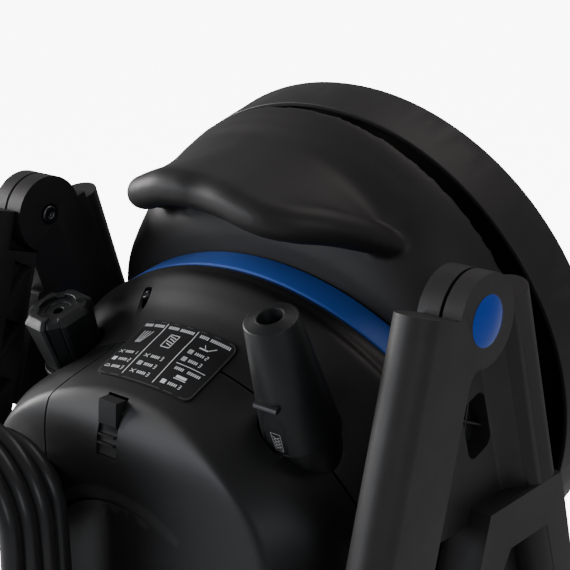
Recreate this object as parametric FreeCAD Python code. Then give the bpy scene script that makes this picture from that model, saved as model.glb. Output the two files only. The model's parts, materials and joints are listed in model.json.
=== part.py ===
import FreeCAD, Part
import math
import os

# Upright high-pressure washer with a large hose reel on its far side and a handle that folds down over
# the operator's side. Millimetres. Z is up, Y points away from the operator, X to the operator's right.
# Every piece is drawn about the middle of the handle's hinge axis; write() moves it onto the floor frame.

# where the hinge axis lies in the floor frame
hinge_height = 560.0
hinge_forward = -30.6

body_half_width = 163.5       # the body between the side frames

# general fits
running_clearance = 0.05      # shaft in its bore, per side
part_gap = 0.3                # pieces of different bodies that pass each other
wall = 3.5                    # moulded shell
seat_gap = 0.05               # pieces of one body that stand against each other
through = 1.0                 # how far a cut runs past the face it opens
overlap = 0.5                 # how far joined forms run into each other
hair = 0.01                   # the same where their sides coincide
far = 800.0                   # past the ends of everything

# reel axis: it rises away from the operator, and it passes below the hinge axis
reel_tilt = 10.7
reel_axis_drop = 111.65       # below the hinge axis, square to the reel axis

# hinge, one each side
frame_gap = 0.5               # between the body's side and a side frame
hinge_half = 14.0             # thickness of each half of a hinge disc
hinge_inner_x = body_half_width + frame_gap
hinge_mid_x = hinge_inner_x + hinge_half
hinge_outer_x = hinge_mid_x + hinge_half
hinge_disc_radius = 26.9
spindle_radius = 11.0
spindle_skin = 4.5            # wall of the disc between the spindle and the bolt's head
spindle_past_mid = 6.0        # how far the spindle runs into the arm's disc
bolt_shank_radius = 4.0
bolt_head_radius = 5.8
bolt_well_radius = 7.6
bolt_well_depth = 2.5
bolt_head_proud = 0.8
bolt_socket_radius = 2.6
bolt_socket_depth = 2.2
button_radius = 14.75
button_thickness = 4.0
button_crown = 2.2
button_side_gap = 0.25

# side frames: the post that carries the hinge leans away from the operator towards the floor
post_lean = 18.0
post_tube_offset = 34.0       # tube axis from the hinge axis, square to the post
post_tube_top = -5.0
post_tube_length = 200.0
post_front_edge = -25.0       # front edge of the post's plate, square to the post
post_plate_low = -170.0
post_neck_inset = 2.0
post_neck_low = -30.0
post_shoulder_low = -20.0
tube_half_x = 13.9
tube_half_y = 18.0
frame_window = (-52.0, -90.0, -18.0, 5.0)   # along the post from, to; across it from, to
window_corner = 7.0
frame_back_y = 150.0          # rear edge of the frame above its foot
frame_knee_z = -300.0
frame_foot_front = 76.0
frame_front_low = -34.0       # front edge, just above the wheel arch
frame_front_z = -346.0
frame_heel_z = -360.0
frame_waist_z = -200.0
frame_waist = 24.0            # how far the front edge leans back up to the waist
frame_panel_top = -120.0
frame_tuck = 2.0              # the panel's top corner inside the post's tube
frame_foot_drop = 12.0        # foot below the body's floor
frame_ear = ((-11.0, -47.0), (16.0, -130.0), (-38.5, -130.0))   # y, z of the rest for the arm
ear_corner = 3.0
frame_panel = 8.0             # web of the frame, inside its border
frame_border = 16.0
frame_pocket_front = 8.0
frame_pocket_top = 30.0
frame_pocket_knee = 6.0
frame_pocket_foot = 14.0
frame_pocket_rise = 18.0

# handle
arm_lean_angle = 15.6
arm_tube_offset = 41.0
arm_tube_top = -1.0
arm_plate_edge = 5.5          # rear edge of the arm's plate, square to the arm
arm_web_top = -20.0
arm_web_knee = -300.0         # below it the plate tapers into the tube
arm_web_taper = 60.0
arm_shoulder_low = -22.0
arm_throat_low = -33.0        # the hollow between disc and plate
arm_throat_radius = 9.0
arm_throat_y = 3.6
arm_throat_z = -35.5
arm_length = 415.0            # hinge axis to crossbar axis, along the arm
arm_pocket_top = -34.0
arm_pocket_pitch = 40.0
arm_pocket_count = 6
arm_pocket_depth = 10.0
arm_pocket_front = -24.0
arm_pocket_back = -9.0
arm_pocket_slant = 4.0
arm_pocket_height = 30.0
crossbar_radius = 13.0
grip_radius = 17.0
grip_half_length = 110.0
grip_groove_depth = 1.2
grip_groove_count = 7
grip_groove_pitch = 27.5
grip_groove_width = 4.0

# reel
rim_near = 101.1
rim_far = 141.5
rim_near_radius = 177.8
rim_far_radius = 180.6
rim_wall = 3.0
rim_corner = 5.0
rim_bead = 1.5
rim_land = 14.0
rim_inner_land = 16.0
rim_inner_corner = 1.0
reel_face_recess = 9.0
reel_face_inner = 132.0
core_radius = 86.0
core_wall = 4.0
core_flange_radius = 158.0
core_flange = 3.0
core_near = 93.0
reel_bore = 14.0
reel_hub_radius = 26.0
hub_boss_height = 6.0
hub_chamfer = 3.0
core_hub_wall = 8.0
spindle_end_gap = 1.0
keeper_thickness = 4.0
keeper_rim = 6.0
spindle_flange = 6.0
spindle_flange_rim = 16.0
back_plate_set = 4.0          # front of the back plate from the shroud's back edge
back_plate_thickness = 3.0
crank_offset = 118.0
crank_pin_radius = 5.0
crank_boss_radius = 15.0
crank_boss_height = 10.0
crank_knob_length = 52.0
crank_knob_radius = 13.0
crank_knob_waist = 10.5
crank_knob_edge = 2.0
crank_knob_lead = 3.0
crank_knob_nose = 6.0
crank_knob_tip = 4.0
crank_head = 4.0
crank_head_rim = 4.0
outlet_bore = 4.5

# shroud in front of the reel
shroud_back = 89.9
shroud_back_radius = 163.5
shroud_back_centre = -95.5
shroud_front = 32.2
shroud_step = 1.5             # the shroud's front edge below the trim ring's face
shroud_power = 1.55
shroud_skirt = -250.0
diagonal = 0.7071             # the share of a half width where the arch's quarter point lies
hood_nose = -12.0
hood_nose_top = 50.0
hood_root_y = 48.0
hood_root_top = 61.5
hood_back_y = 84.0
hood_back_top = 66.0
hood_thickness = 15.0
hood_arch_radius = 118.0
hood_half_front = 66.0
hood_half_back = 92.0
hood_corner = 20.0
hood_shoulder = 10.0
hood_back_half = 60.0
hood_overhang = 20.0          # the band's section past its plan
hood_sink = 0.5               # the visor's root inside the shroud's skin

# blue trim ring
ring_radius = 202.5
ring_top = -13.2
ring_centre = ring_top - ring_radius
ring_foot = 20.0              # where the ring ends, above its centre
ring_seat_foot = 60.0
ring_near = 11.5
ring_far = 31.9
ring_depth = 4.5

# upper body: arches square to the reel axis, at these places along it
arch_y = (12.0, 3.0, -7.0, -17.0, -28.0, -40.0, -56.0, -90.0, -120.0, -165.0)
arch_top = (-14.5, -12.6, -11.5, -18.0, -27.5, -33.8, -38.2, -48.5, -57.5, -71.0)
arch_spring = (-209.0, -206.0, -200.0, -198.0, -197.0, -196.0, -193.0, -150.0, -140.0, -138.0)
arch_roundness = (2.0, 2.0, 2.0, 2.0, 2.0, 2.0, 2.02, 2.27, 2.3, 2.3)
arch_steps = 12
seam_y = -56.0
seam_gap = 0.8
arch_width_at_zero = 194.7
arch_width_slope = 0.62
upper_floor = -215.0          # level plane where the upper pieces end
# x, z of the left cheek's edge
cover_seam = ((-50.0, -60.0), (-58.0, -72.0), (-63.0, -81.0), (-63.0, -120.0))
front_face_y = -97.4
front_face_mid = (-94.2, -84.0)
front_edge = (-75.5, -58.0)
front_face_low = -102.8

# label plate on the slope
label_half_width = 39.5
label_back = -37.0
label_front = -85.6
label_corner = 5.0
label_thickness = 1.2
label_sink = 0.3

# latch on the cover's front edge, left of the middle
latch_x = -7.6
latch_half_width = 7.5
latch_top = -69.0
latch_pivot_z = -77.0
latch_bottom = -103.0
latch_block_bottom = -84.0
latch_front = -94.6         # the block's flat front
latch_depth = 8.0
latch_lip = 1.5
latch_tuck = 0.8
latch_sink = 0.6
latch_heel = 2.0
latch_bevel = 3.0
latch_room = 34.6             # the slot behind the block's front
latch_recess = 3.4
latch_pocket = 0.5
latch_pocket_rise = 3.0
latch_strap = 3.0
latch_pivot_depth = 2.6
latch_pin_hold = 3.0
latch_pin_radius = 1.5
latch_rib = 1.2
latch_rib_inset = 1.0
latch_rib_height = 0.9
latch_rib_root = 2.5
latch_rib_shares = (0.35, 0.62)
latch_side_gap = 0.9

# nozzles stored in sockets in the body's shoulders
socket_inset = 66.5           # from the body's side
socket_x = body_half_width - socket_inset
socket_y = -40.0
socket_z = -79.0
socket_lean_angle = 20.0
socket_outer_radius = 21.0
socket_bore = 15.3
socket_depth = 42.0
socket_floor = 4.0
socket_lip = 2.0
socket_mouth_sink = 0.5
socket_reach = 100.0
nozzle_stub_radius = 15.0
nozzle_stub_length = 36.0
rough_height = 84.0
rough_top_radius = 16.8
rough_base_radius = 23.5
rough_mouth_radius = 9.5
rough_mouth_depth = 14.0
rough_bore_radius = 3.2
rough_band_drop = 49.0
rough_band_height = 2.4
rough_band_width = 17.0
rough_band_proud = 0.6
rough_band_root = 8.0
rough_flat_depth = 3.0
fan_height = 43.0
fan_top_across = 42.0
fan_base_across = 35.0
fan_sides = 8
fan_bevel = 5.0
fan_bevel_drop = 3.5
fan_mouth_radius = 3.6
fan_rim = 4.5
fan_recess = 3.0

# screws in the collar
screw_x = 55.5
screw_y = -18.5               # in the reel's frame
screw_z = -31.5
screw_head_radius = 3.4
screw_head_length = 3.0
screw_shank_radius = 1.7
screw_length = 16.0
screw_lean_angle = 24.0
screw_well_radius = 5.2
screw_well_reach = 30.0
screw_socket_depth = 2.0

# lower body
lower_floor = -520.0
plan_back_y = 146.0
plan_taper_y = -10.0
plan_front_half = 104.0
plan_corner = 30.0
split_y = 20.0
reel_room_gap = 8.0           # the hollow round the reel
reel_room_front = 6.0
wheel_arch_radius = 114.0
wheel_arch_depth = 15.5       # into the body's side
wheel_arch_half_width = body_half_width - wheel_arch_depth
knob_x = 58.0
knob_z = -268.0
knob_radius = 25.0
knob_height = 20.0
knob_disc = 8.0
knob_bar = 9.0
knob_bar_inset = 3.0
knob_shaft_radius = 4.0
knob_shaft_length = 25.5
inlet_x = 60.0
inlet_z = -350.0
inlet_radius = 8.5
inlet_length = 24.0
inlet_flange_radius = 17.0
inlet_flange = 4.0
inlet_neck_wall = 3.0
inlet_neck = 40.0
inlet_barb = 2.0
inlet_barb_place = 9.0
inlet_barb_length = 4.0
inlet_bore = 5.0

# base and feet
base_thickness = 5.0
tray_gap = 0.2
carrier_half = 14.0
carrier_wall = 12.0
carrier_rise = 16.0           # above the axle's centre
carrier_gap = 2.0
foot_radius = 14.0
foot_inset = 43.5
foot_x = body_half_width - foot_inset
foot_y = 118.0

# wheels
axle_y = -15.0
wheel_radius = 105.0
axle_radius = 6.0
wheel_side_gap = 6.0
wheel_inner_x = wheel_arch_half_width + wheel_side_gap
axle_end = 4.0
wheel_width = 38.0
tyre_depth = 16.0
tyre_edge = 3.0
tyre_bead = 4.0
tyre_shoulder = 5.0
wheel_rim_depth = 5.0
wheel_rim_root = 7.0
wheel_window_radius = 14.0
hub_radius = 22.0
wheel_disc = 5.0
wheel_spokes = 6
cap_radius = 17.0
cap_height = 5.0
cap_shoulder = 2.0
cap_draft = 1.0
cap_crown = 1.0
cap_flat = 6.0
cap_wall = 4.2

# motor and pump
motor_z = -390.0
motor_y = 66.0
motor_radius = 62.0
motor_length = 110.0
motor_fins = 16
motor_fin_depth = 5.0
motor_fin_half = 1.5
motor_fin_inset = 6.0
rotor_radius = 38.0
rotor_gap = 1.0
rotor_inset = 8.0
shaft_below = 20.0
shaft_above = 22.0
shaft_radius = 7.0
fan_wheel_radius = 52.0
fan_wheel_width = 12.0
fan_wheel_gap = 6.0
fan_wheel_disc = 3.0
fan_blade_count = 8
fan_blade_root = 14.0
fan_blade_inset = 2.0
fan_blade_half = 1.0
fan_hub_wall = 6.0
pump_radius = 46.0
pump_length = 60.0
pump_head_length = 42.0
pump_head_side = 78.0
pump_head_corner = 10.0
pump_seal_depth = 24.0
pump_foot_radius = 9.0
pump_foot_spread = 28.0
shield_thickness = 8.0
unloader_x = 22.0
unloader_radius = 11.0
unloader_length = 40.0
unloader_root = 1.0
unloader_cap = 3.0
capacitor_radius = 20.0
capacitor_length = 84.0
capacitor_inset = 51.5
capacitor_x = capacitor_inset - body_half_width
capacitor_y = 56.0
switch_box_half = 26.0
switch_box_depth = 34.0

# supply cable, hung in turns over two hooks: one layer next to the body, two further out
cable_radius = 6.5
hank_x = -67.0
hank_top_z = -140.0
hank_drop = 128.0
hank_inner = 33.0
hank_layers = 2
hank_back = -113.5            # side of the hank towards the body
hank_depth = 60.0
gland_radius = 10.0
gland_top = -350.0
gland_foot = -398.0
gland_taper = 7.4
gland_base_half = 16.0
gland_sleeve = 26.0
gland_base_top = 24.0
gland_base_low = 4.0
gland_base_set = 2.0
plug_top = -320.0
plug_length = 40.0
plug_radius = 18.5
plug_neck = 14.0
plug_crown = 4.0
plug_hollow = 12.0
plug_hollow_depth = 3.0
plug_neck_share = 0.6
plug_crown_share = 0.8
plug_neck_wall = 1.0
plug_pin_radius = 2.4
plug_pin_length = 19.0
plug_pin_spacing = 19.0

# cable hooks: the upper one turns half a turn to let the hank go
hook_base_radius = 20.0
hook_base_face = -111.7
hook_pin_radius = 5.0
hook_pin_length = 14.0
hook_pin_cover = 2.0
hook_pin_room = 0.5
hook_open = 4.0
hook_link = 0.1               # how far the fixed hook runs into its foot
hook_wall = 4.0
hook_lip_reach = 60.0
hook_lip_half = 9.0
hook_lip = 5.0

origin = FreeCAD.Vector(0, 0, 0)
along_x = FreeCAD.Vector(1, 0, 0)
along_y = FreeCAD.Vector(0, 1, 0)
along_z = FreeCAD.Vector(0, 0, 1)


def vec(x, y, z):
    return FreeCAD.Vector(x, y, z)


def write(name, shape, tilted=False):
    """Write a piece drawn about the hinge axis; a tilted one was drawn in the reel's own frame."""
    piece = shape.copy()
    if tilted:
        piece.rotate(origin, along_x, reel_tilt)
    piece.translate(vec(0, hinge_forward, hinge_height))
    piece.exportStep("parts/" + name + ".step")
    print(name, len(piece.Solids), round(piece.Volume / 1000.0, 1))


def lean(shape, degrees):
    """Turn a piece drawn upright about the hinge axis; positive degrees move its top to the operator."""
    piece = shape.copy()
    piece.rotate(origin, along_x, degrees)
    return piece


def to_tilted(y, z):
    """A level-frame point as reel-frame y, z."""
    angle = math.radians(reel_tilt)
    return y * math.cos(angle) + z * math.sin(angle), -y * math.sin(angle) + z * math.cos(angle)


def level(shape):
    """A piece drawn in the level frame, turned into the reel's frame."""
    piece = shape.copy()
    piece.rotate(origin, along_x, -reel_tilt)
    return piece


def rod(radius, start, direction, length):
    return Part.makeCylinder(radius, length, start, direction)


def box(x0, x1, y0, y1, z0, z1):
    return Part.makeBox(x1 - x0, y1 - y0, z1 - z0, vec(x0, y0, z0))


def face_of(points):
    return Part.Face(Part.makePolygon(points + points[:1]))


def side_prism(outline, x0, x1):
    """A prism along X whose outline is given as y, z points."""
    return face_of([vec(x0, y, z) for y, z in outline]).extrude(vec(x1 - x0, 0, 0))


def plan_prism(outline, z0, z1):
    return face_of([vec(x, y, z0) for x, y in outline]).extrude(vec(0, 0, z1 - z0))


def mirrored(shape):
    return shape.mirror(origin, along_x)


def turned_profile(outline, centre_z):
    """Revolve a y, radius outline about the line through x = 0, z = centre_z along Y."""
    face = face_of([vec(0, y, centre_z + radius) for y, radius in outline])
    return face.revolve(vec(0, 0, centre_z), along_y, 360)


# ---- arches of the upper body -------------------------------------------------------------------

def arch_wire(y, half_width, spring, top, power, floor):
    """A closed outline square to the reel axis: a superelliptic arch on two straight sides."""
    points = []
    for step in range(arch_steps + 1):
        angle = math.pi * step / arch_steps
        c, s = math.cos(angle), math.sin(angle)
        x = -math.copysign(abs(c) ** (2.0 / power), c) * half_width
        z = spring + abs(s) ** (2.0 / power) * (top - spring)
        points.append(vec(x, y, z))
    curve = Part.BSplineCurve()
    curve.interpolate(points)
    left = vec(-half_width, y, floor)
    right = vec(half_width, y, floor)
    sides = [Part.makeLine(left, points[0]), Part.makeLine(points[-1], right), Part.makeLine(right, left)]
    return Part.Wire([sides[0], curve.toShape(), sides[1], sides[2]])


def arch_width(y):
    return arch_width_at_zero + arch_width_slope * y


def body_loft(inset):
    """The upper body as one arch-shaped loft, drawn in by inset."""
    wires = []
    for y, top, spring, power in zip(arch_y, arch_top, arch_spring, arch_roundness):
        wires.append(arch_wire(y, arch_width(y) - inset, spring, top - inset, power, -far))
    return Part.makeLoft(wires, True, True)


def front_limit(inset):
    """The space behind the front face: a level-frame prism, rounded where the slope meets the face."""
    edge_y, edge_z = front_edge
    mid_y, mid_z = front_face_mid
    top = vec(-far, edge_y + inset, far)
    high = vec(-far, edge_y + inset, edge_z)
    mid = vec(-far, mid_y + inset, mid_z)
    low = vec(-far, front_face_y + inset, front_face_low)
    bottom = vec(-far, front_face_y + inset, -far)
    back_low = vec(-far, far, -far)
    back_high = vec(-far, far, far)
    arc = Part.Arc(high, mid, low).toShape()
    edges = [Part.makeLine(top, high), arc, Part.makeLine(low, bottom), Part.makeLine(bottom, back_low)]
    edges += [Part.makeLine(back_low, back_high), Part.makeLine(back_high, top)]
    return Part.Face(Part.Wire(edges)).extrude(vec(2 * far, 0, 0))


def above_floor():
    """All that lies above the level plane where the upper pieces end, in the reel frame."""
    return level(box(-far, far, -far, far, upper_floor, far))


def upper_space(inset):
    """Everything inside the upper body's skin, in the reel frame."""
    limit = level(front_limit(inset))
    between = box(-body_half_width + inset, body_half_width - inset, -far, far, -far, far)
    return body_loft(inset).common(limit).common(between).common(above_floor())


def socket_axis():
    angle = math.radians(socket_lean_angle)
    return vec(0, -math.sin(angle), math.cos(angle))


def socket_cut(side, radius, mouth_radius):
    """The hole for a nozzle's socket, wider above the mouth, where the nozzle's foot stands."""
    axis = socket_axis()
    mouth = vec(side * socket_x, socket_y, socket_z)
    narrow = rod(radius, mouth - axis * socket_reach, axis, 2 * socket_reach)
    return narrow.fuse(rod(mouth_radius, mouth + axis * (socket_lip - socket_mouth_sink), axis, socket_reach))


def cover_prism(gap):
    """The front cover's share of the front, seen from the operator: all that lies right of the cheek's edge."""
    top_x, low_x = cover_seam[0][0] + gap, cover_seam[-1][0] + gap
    edge = [(top_x, far)] + [(x + gap, z) for x, z in cover_seam] + [(low_x, -far)]
    points = [vec(x, -far, z) for x, z in edge + [(far, -far), (far, far)]]
    return face_of(points).extrude(vec(0, 2 * far, 0))


def upper_shells():
    skin = upper_space(0).cut(upper_space(wall))
    for side in (-1, 1):
        hole = socket_cut(side, socket_outer_radius + part_gap, rough_base_radius + part_gap)
        skin = skin.cut(level(hole))
    ahead = box(-far, far, -far, seam_y - seam_gap / 2, -far, far)
    behind = box(-far, far, seam_y + seam_gap / 2, ring_near - part_gap, -far, far)
    collar = skin.common(behind)
    front = skin.common(ahead)
    cover = front.common(level(cover_prism(seam_gap / 2))).cut(level(latch_slot()))
    cheek = front.cut(level(cover_prism(-seam_gap / 2)))
    return collar, cover, cheek


# ---- shroud, hood and trim ring -----------------------------------------------------------------

def shroud_section(share, inset):
    """The shroud's outline at a share of its depth: the arch rises fast behind the ring, then levels."""
    y = shroud_front + share * (shroud_back - shroud_front)
    rise = (1 - (1 - share) ** shroud_power) ** (1 / shroud_power)
    side = body_half_width - inset
    front_top = ring_centre + ring_radius - shroud_step
    front_side = ring_centre + math.sqrt(ring_radius ** 2 - body_half_width ** 2)
    back_top = shroud_back_centre + shroud_back_radius
    top = front_top + rise * (back_top - front_top) - inset
    spring = front_side + rise * (shroud_back_centre - front_side)
    quarter_front = ring_centre + math.sqrt(ring_radius ** 2 - (side * diagonal) ** 2)
    quarter_back = shroud_back_centre + shroud_back_radius * diagonal
    quarter = quarter_front + rise * (quarter_back - quarter_front) - inset
    points = [vec(-side, y, spring), vec(-side * diagonal, y, quarter), vec(0, y, top)]
    points += [vec(side * diagonal, y, quarter), vec(side, y, spring)]
    curve = Part.BSplineCurve()
    curve.interpolate(points)
    left = vec(-side, y, shroud_skirt)
    right = vec(side, y, shroud_skirt)
    edges = [Part.makeLine(left, points[0]), curve.toShape(), Part.makeLine(points[-1], right)]
    edges.append(Part.makeLine(right, left))
    return Part.Wire(edges)


def shroud_loft(inset):
    shares = (0.0, 0.06, 0.2, 0.42, 0.7, 1.0)
    return Part.makeLoft([shroud_section(share, inset) for share in shares], True, False)


def hood_band(y, top):
    """One section of the hood: an arched band of even thickness."""
    half = hood_half_back + hood_overhang
    sag = hood_arch_radius - math.sqrt(hood_arch_radius ** 2 - half ** 2)
    low = top - hood_thickness
    upper = Part.Arc(vec(-half, y, top - sag), vec(0, y, top), vec(half, y, top - sag)).toShape()
    lower = Part.Arc(vec(half, y, low - sag), vec(0, y, low), vec(-half, y, low - sag)).toShape()
    right = Part.makeLine(vec(half, y, top - sag), vec(half, y, low - sag))
    left = Part.makeLine(vec(-half, y, low - sag), vec(-half, y, top - sag))
    return Part.Wire([upper, right, lower, left])


def hood():
    levels = [(hood_nose, hood_nose_top), (hood_root_y, hood_root_top), (hood_back_y, hood_back_top)]
    band = Part.makeLoft([hood_band(y, top) for y, top in levels], True, True)
    outline = [(-hood_half_front, hood_nose), (hood_half_front, hood_nose)]
    shoulder_y = hood_root_y + hood_shoulder
    outline += [(hood_half_back, shoulder_y), (hood_back_half, hood_back_y), (-hood_back_half, hood_back_y)]
    outline += [(-hood_half_back, shoulder_y)]
    plan = plan_prism(outline, -far, far)
    corners = [e for e in plan.Edges if e.BoundBox.ZLength > far and e.BoundBox.YMax < hood_nose + through]
    plan = plan.makeFillet(hood_corner, corners)
    return band.common(plan)


def shroud():
    outer = shroud_loft(0)
    front_end = Part.Face(shroud_section(0.0, wall)).extrude(vec(0, -through, 0))
    back_end = Part.Face(shroud_section(1.0, wall)).extrude(vec(0, through, 0))
    shell = outer.cut(shroud_loft(wall).fuse([front_end, back_end]))
    visor = hood().cut(shroud_loft(hood_sink))
    return shell.fuse(visor).common(above_floor()).removeSplitter()


def trim_ring():
    outer = rod(ring_radius, vec(0, ring_near, ring_centre), along_y, ring_far - ring_near)
    hollow_length = ring_far - ring_near + 2 * through
    inner = rod(ring_radius - ring_depth, vec(0, ring_near - through, ring_centre), along_y, hollow_length)
    reach = box(-body_half_width, body_half_width, ring_near, ring_far, ring_centre + ring_foot, far)
    return outer.cut(inner).common(reach)


def ring_seat():
    """The step under the trim ring that joins the collar to the shroud."""
    outer_radius = ring_radius - ring_depth - part_gap
    y0 = ring_near - part_gap
    depth = shroud_front - y0 - seat_gap
    outer = rod(outer_radius, vec(0, y0, ring_centre), along_y, depth)
    inner = rod(outer_radius - wall, vec(0, y0 - through, ring_centre), along_y, depth + 2 * through)
    reach = box(-body_half_width, body_half_width, y0, y0 + depth, ring_centre + ring_seat_foot, far)
    return outer.cut(inner).common(reach)


def screw_frame(shape, side):
    """A piece drawn upright on a screw's seat, leaned square to the collar and moved to its place."""
    piece = shape.copy()
    piece.rotate(origin, along_y, side * screw_lean_angle)
    piece.rotate(origin, along_x, screw_lean_angle)
    piece.translate(vec(side * screw_x, screw_y, screw_z))
    return piece


def screw_wells():
    wells = []
    for side in (-1, 1):
        well = rod(screw_well_radius, origin, along_z, screw_well_reach)
        hole = rod(screw_shank_radius, vec(0, 0, -screw_well_reach), along_z, screw_well_reach + overlap)
        wells.append(screw_frame(well.fuse(hole), side))
    return Part.makeCompound(wells)


def collar_screws():
    """Two socket screws that hold the collar down, sunk in round wells."""
    screws = []
    for side in (-1, 1):
        head = rod(screw_head_radius, origin, along_z, screw_head_length)
        socket = rod(screw_shank_radius, vec(0, 0, screw_head_length - screw_socket_depth), along_z,
                     screw_socket_depth + through)
        head = head.cut(socket)
        shank = rod(screw_shank_radius, vec(0, 0, -screw_length), along_z, screw_length + overlap)
        screws.append(screw_frame(head.fuse(shank), side))
    return Part.makeCompound(screws)


def label_plate():
    """A thin plate bent over the slope: the slope's own skin, raised a little, inside a rounded outline."""
    raised = body_loft(-label_thickness)
    sunk = body_loft(-label_sink)
    outline = box(-label_half_width, label_half_width, label_front, label_back, -far, far)
    corners = [e for e in outline.Edges if e.BoundBox.ZLength > far]
    outline = outline.makeFillet(label_corner, corners)
    return raised.cut(sunk).common(outline)


# ---- latch --------------------------------------------------------------------------------------

def latch_slot():
    """The hole in the front cover that the latch lies in, wider at its top, with the bores for its pin."""
    half = latch_half_width + latch_side_gap
    low, high = latch_bottom - latch_side_gap, latch_top + latch_side_gap
    hole = box(latch_x - half, latch_x + half, -far, latch_front + latch_room, low, high)
    wide = half + latch_recess
    back = face_y_at(latch_top) + latch_pocket
    recess = box(latch_x - wide, latch_x + wide, -far, back, latch_top, latch_top + latch_pocket_rise)
    return hole.fuse([recess, latch_pin()])


def face_y_at(z):
    """The front face's y at a level: the arc through its three named points."""
    (y1, z1), (y2, z2), (y3, z3) = front_edge, front_face_mid, (front_face_y, front_face_low)
    a = z1 * (y2 - y3) - y1 * (z2 - z3) + z2 * y3 - z3 * y2
    b = (z1 ** 2 + y1 ** 2) * (y3 - y2) + (z2 ** 2 + y2 ** 2) * (y1 - y3) + (z3 ** 2 + y3 ** 2) * (y2 - y1)
    c = (z1 ** 2 + y1 ** 2) * (z2 - z3) + (z2 ** 2 + y2 ** 2) * (z3 - z1) + (z3 ** 2 + y3 ** 2) * (z1 - z2)
    centre_z, centre_y = -b / (2 * a), -c / (2 * a)
    radius = math.hypot(y1 - centre_y, z1 - centre_z)
    return centre_y - math.sqrt(radius ** 2 - (z - centre_z) ** 2)


def latch():
    """A block over the front edge with a ribbed tongue below it, turning on a pin through the block."""
    half = latch_half_width
    y_mid = face_y_at(latch_block_bottom)
    y_low = face_y_at(latch_bottom)
    outline = [
        (latch_front, latch_top), (y_mid - latch_lip, latch_block_bottom),
        (y_mid + latch_tuck, latch_block_bottom - latch_lip), (y_low + latch_sink, latch_bottom),
        (y_low + latch_sink + latch_strap, latch_bottom),
        (y_mid + latch_depth - latch_heel, latch_block_bottom),
        (latch_front + latch_depth, latch_top - latch_bevel), (latch_front + latch_depth, latch_top),
    ]
    body = side_prism(outline, latch_x - half, latch_x + half)
    ribs = []
    rib_half = half - latch_rib_inset
    for share in latch_rib_shares:
        z = latch_block_bottom + share * (latch_bottom - latch_block_bottom)
        front, root = face_y_at(z) - latch_rib_height, face_y_at(z) + latch_rib_root
        low, high = z - latch_rib / 2, z + latch_rib / 2
        ribs.append(box(latch_x - rib_half, latch_x + rib_half, front, root, low, high))
    bore = rod(latch_pin_radius + running_clearance, vec(latch_x - far, latch_pivot_y(), latch_pivot_z),
               along_x, 2 * far)
    return body.fuse(ribs).cut(bore)


def latch_pivot_y():
    return face_y_at(latch_pivot_z) + latch_pivot_depth


def latch_pin():
    reach = latch_half_width + latch_side_gap + latch_pin_hold
    return rod(latch_pin_radius, vec(latch_x - reach, latch_pivot_y(), latch_pivot_z), along_x, 2 * reach)


# ---- nozzles ------------------------------------------------------------------------------------

def stand_at_socket(shape, side):
    """A piece drawn upright on the socket's mouth, leaned and moved to its socket."""
    piece = shape.copy()
    piece.rotate(origin, along_x, socket_lean_angle)
    piece.translate(vec(side * socket_x, socket_y, socket_z))
    return piece


def nozzle_holder(side):
    cup = rod(socket_outer_radius, vec(0, 0, -socket_depth), along_z, socket_depth + socket_lip)
    bore = rod(socket_bore, vec(0, 0, -socket_depth + socket_floor), along_z, far)
    return stand_at_socket(cup.cut(bore), side)


def rough_nozzle():
    """A tapered nozzle with a wide mouth, and a flat grip panel on its front below a raised band."""
    foot = socket_lip + part_gap
    cone = Part.makeCone(rough_base_radius, rough_top_radius, rough_height - foot, vec(0, 0, foot), along_z)
    stub = rod(nozzle_stub_radius, vec(0, 0, foot - nozzle_stub_length), along_z, nozzle_stub_length + overlap)
    mouth = Part.makeCone(rough_bore_radius, rough_mouth_radius, rough_mouth_depth,
                          vec(0, 0, rough_height - rough_mouth_depth), along_z)
    bore = rod(rough_bore_radius, vec(0, 0, -far), along_z, 2 * far)
    level_z = rough_height - rough_band_drop
    half = rough_band_width / 2
    flat = box(-half, half, -far, rough_flat_depth - rough_base_radius, 0, level_z)
    band_y = -rough_base_radius - rough_band_proud
    band = box(-half, half, band_y, -rough_band_root, level_z, level_z + rough_band_height)
    body = cone.fuse(stub).cut(flat).fuse(band)
    return stand_at_socket(body.cut(mouth).cut(bore), 1)


def fan_nozzle():
    """An eight-sided cap that narrows to its foot, with a rim round a recessed top and a small bore."""
    foot = socket_lip + part_gap
    rings = []
    levels = [(foot, fan_base_across), (fan_height - fan_bevel_drop, fan_top_across)]
    levels.append((fan_height, fan_top_across - fan_bevel))
    for height, across in levels:
        radius = across / 2 / math.cos(math.pi / fan_sides)
        points = []
        for corner in range(fan_sides):
            angle = (2 * corner + 1) * math.pi / fan_sides
            points.append(vec(radius * math.cos(angle), radius * math.sin(angle), height))
        rings.append(Part.makePolygon(points + points[:1]))
    cap = Part.makeLoft(rings, True, True)
    recess_radius = (fan_top_across - fan_bevel) / 2 - fan_rim
    recess = rod(recess_radius, vec(0, 0, fan_height - fan_recess), along_z, fan_recess + through)
    stub = rod(nozzle_stub_radius, vec(0, 0, foot - nozzle_stub_length), along_z, nozzle_stub_length + overlap)
    bore = rod(fan_mouth_radius, vec(0, 0, -far), along_z, 2 * far)
    return stand_at_socket(cap.cut(recess).fuse(stub).cut(bore), -1)


# ---- side frames and hinges ---------------------------------------------------------------------

def tube(offset, top, length):
    """A flat-oval tube standing upright beside the hinge axis, its flat top at a level."""
    spread = tube_half_y - tube_half_x
    ends = []
    for y in (offset - spread, offset + spread):
        ends.append(rod(tube_half_x, vec(hinge_mid_x, y, top - length), along_z, length))
    x0, x1 = hinge_mid_x - tube_half_x, hinge_mid_x + tube_half_x
    middle = box(x0, x1, offset - spread, offset + spread, top - length, top)
    return ends[0].fuse([ends[1], middle]).removeSplitter()


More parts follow.
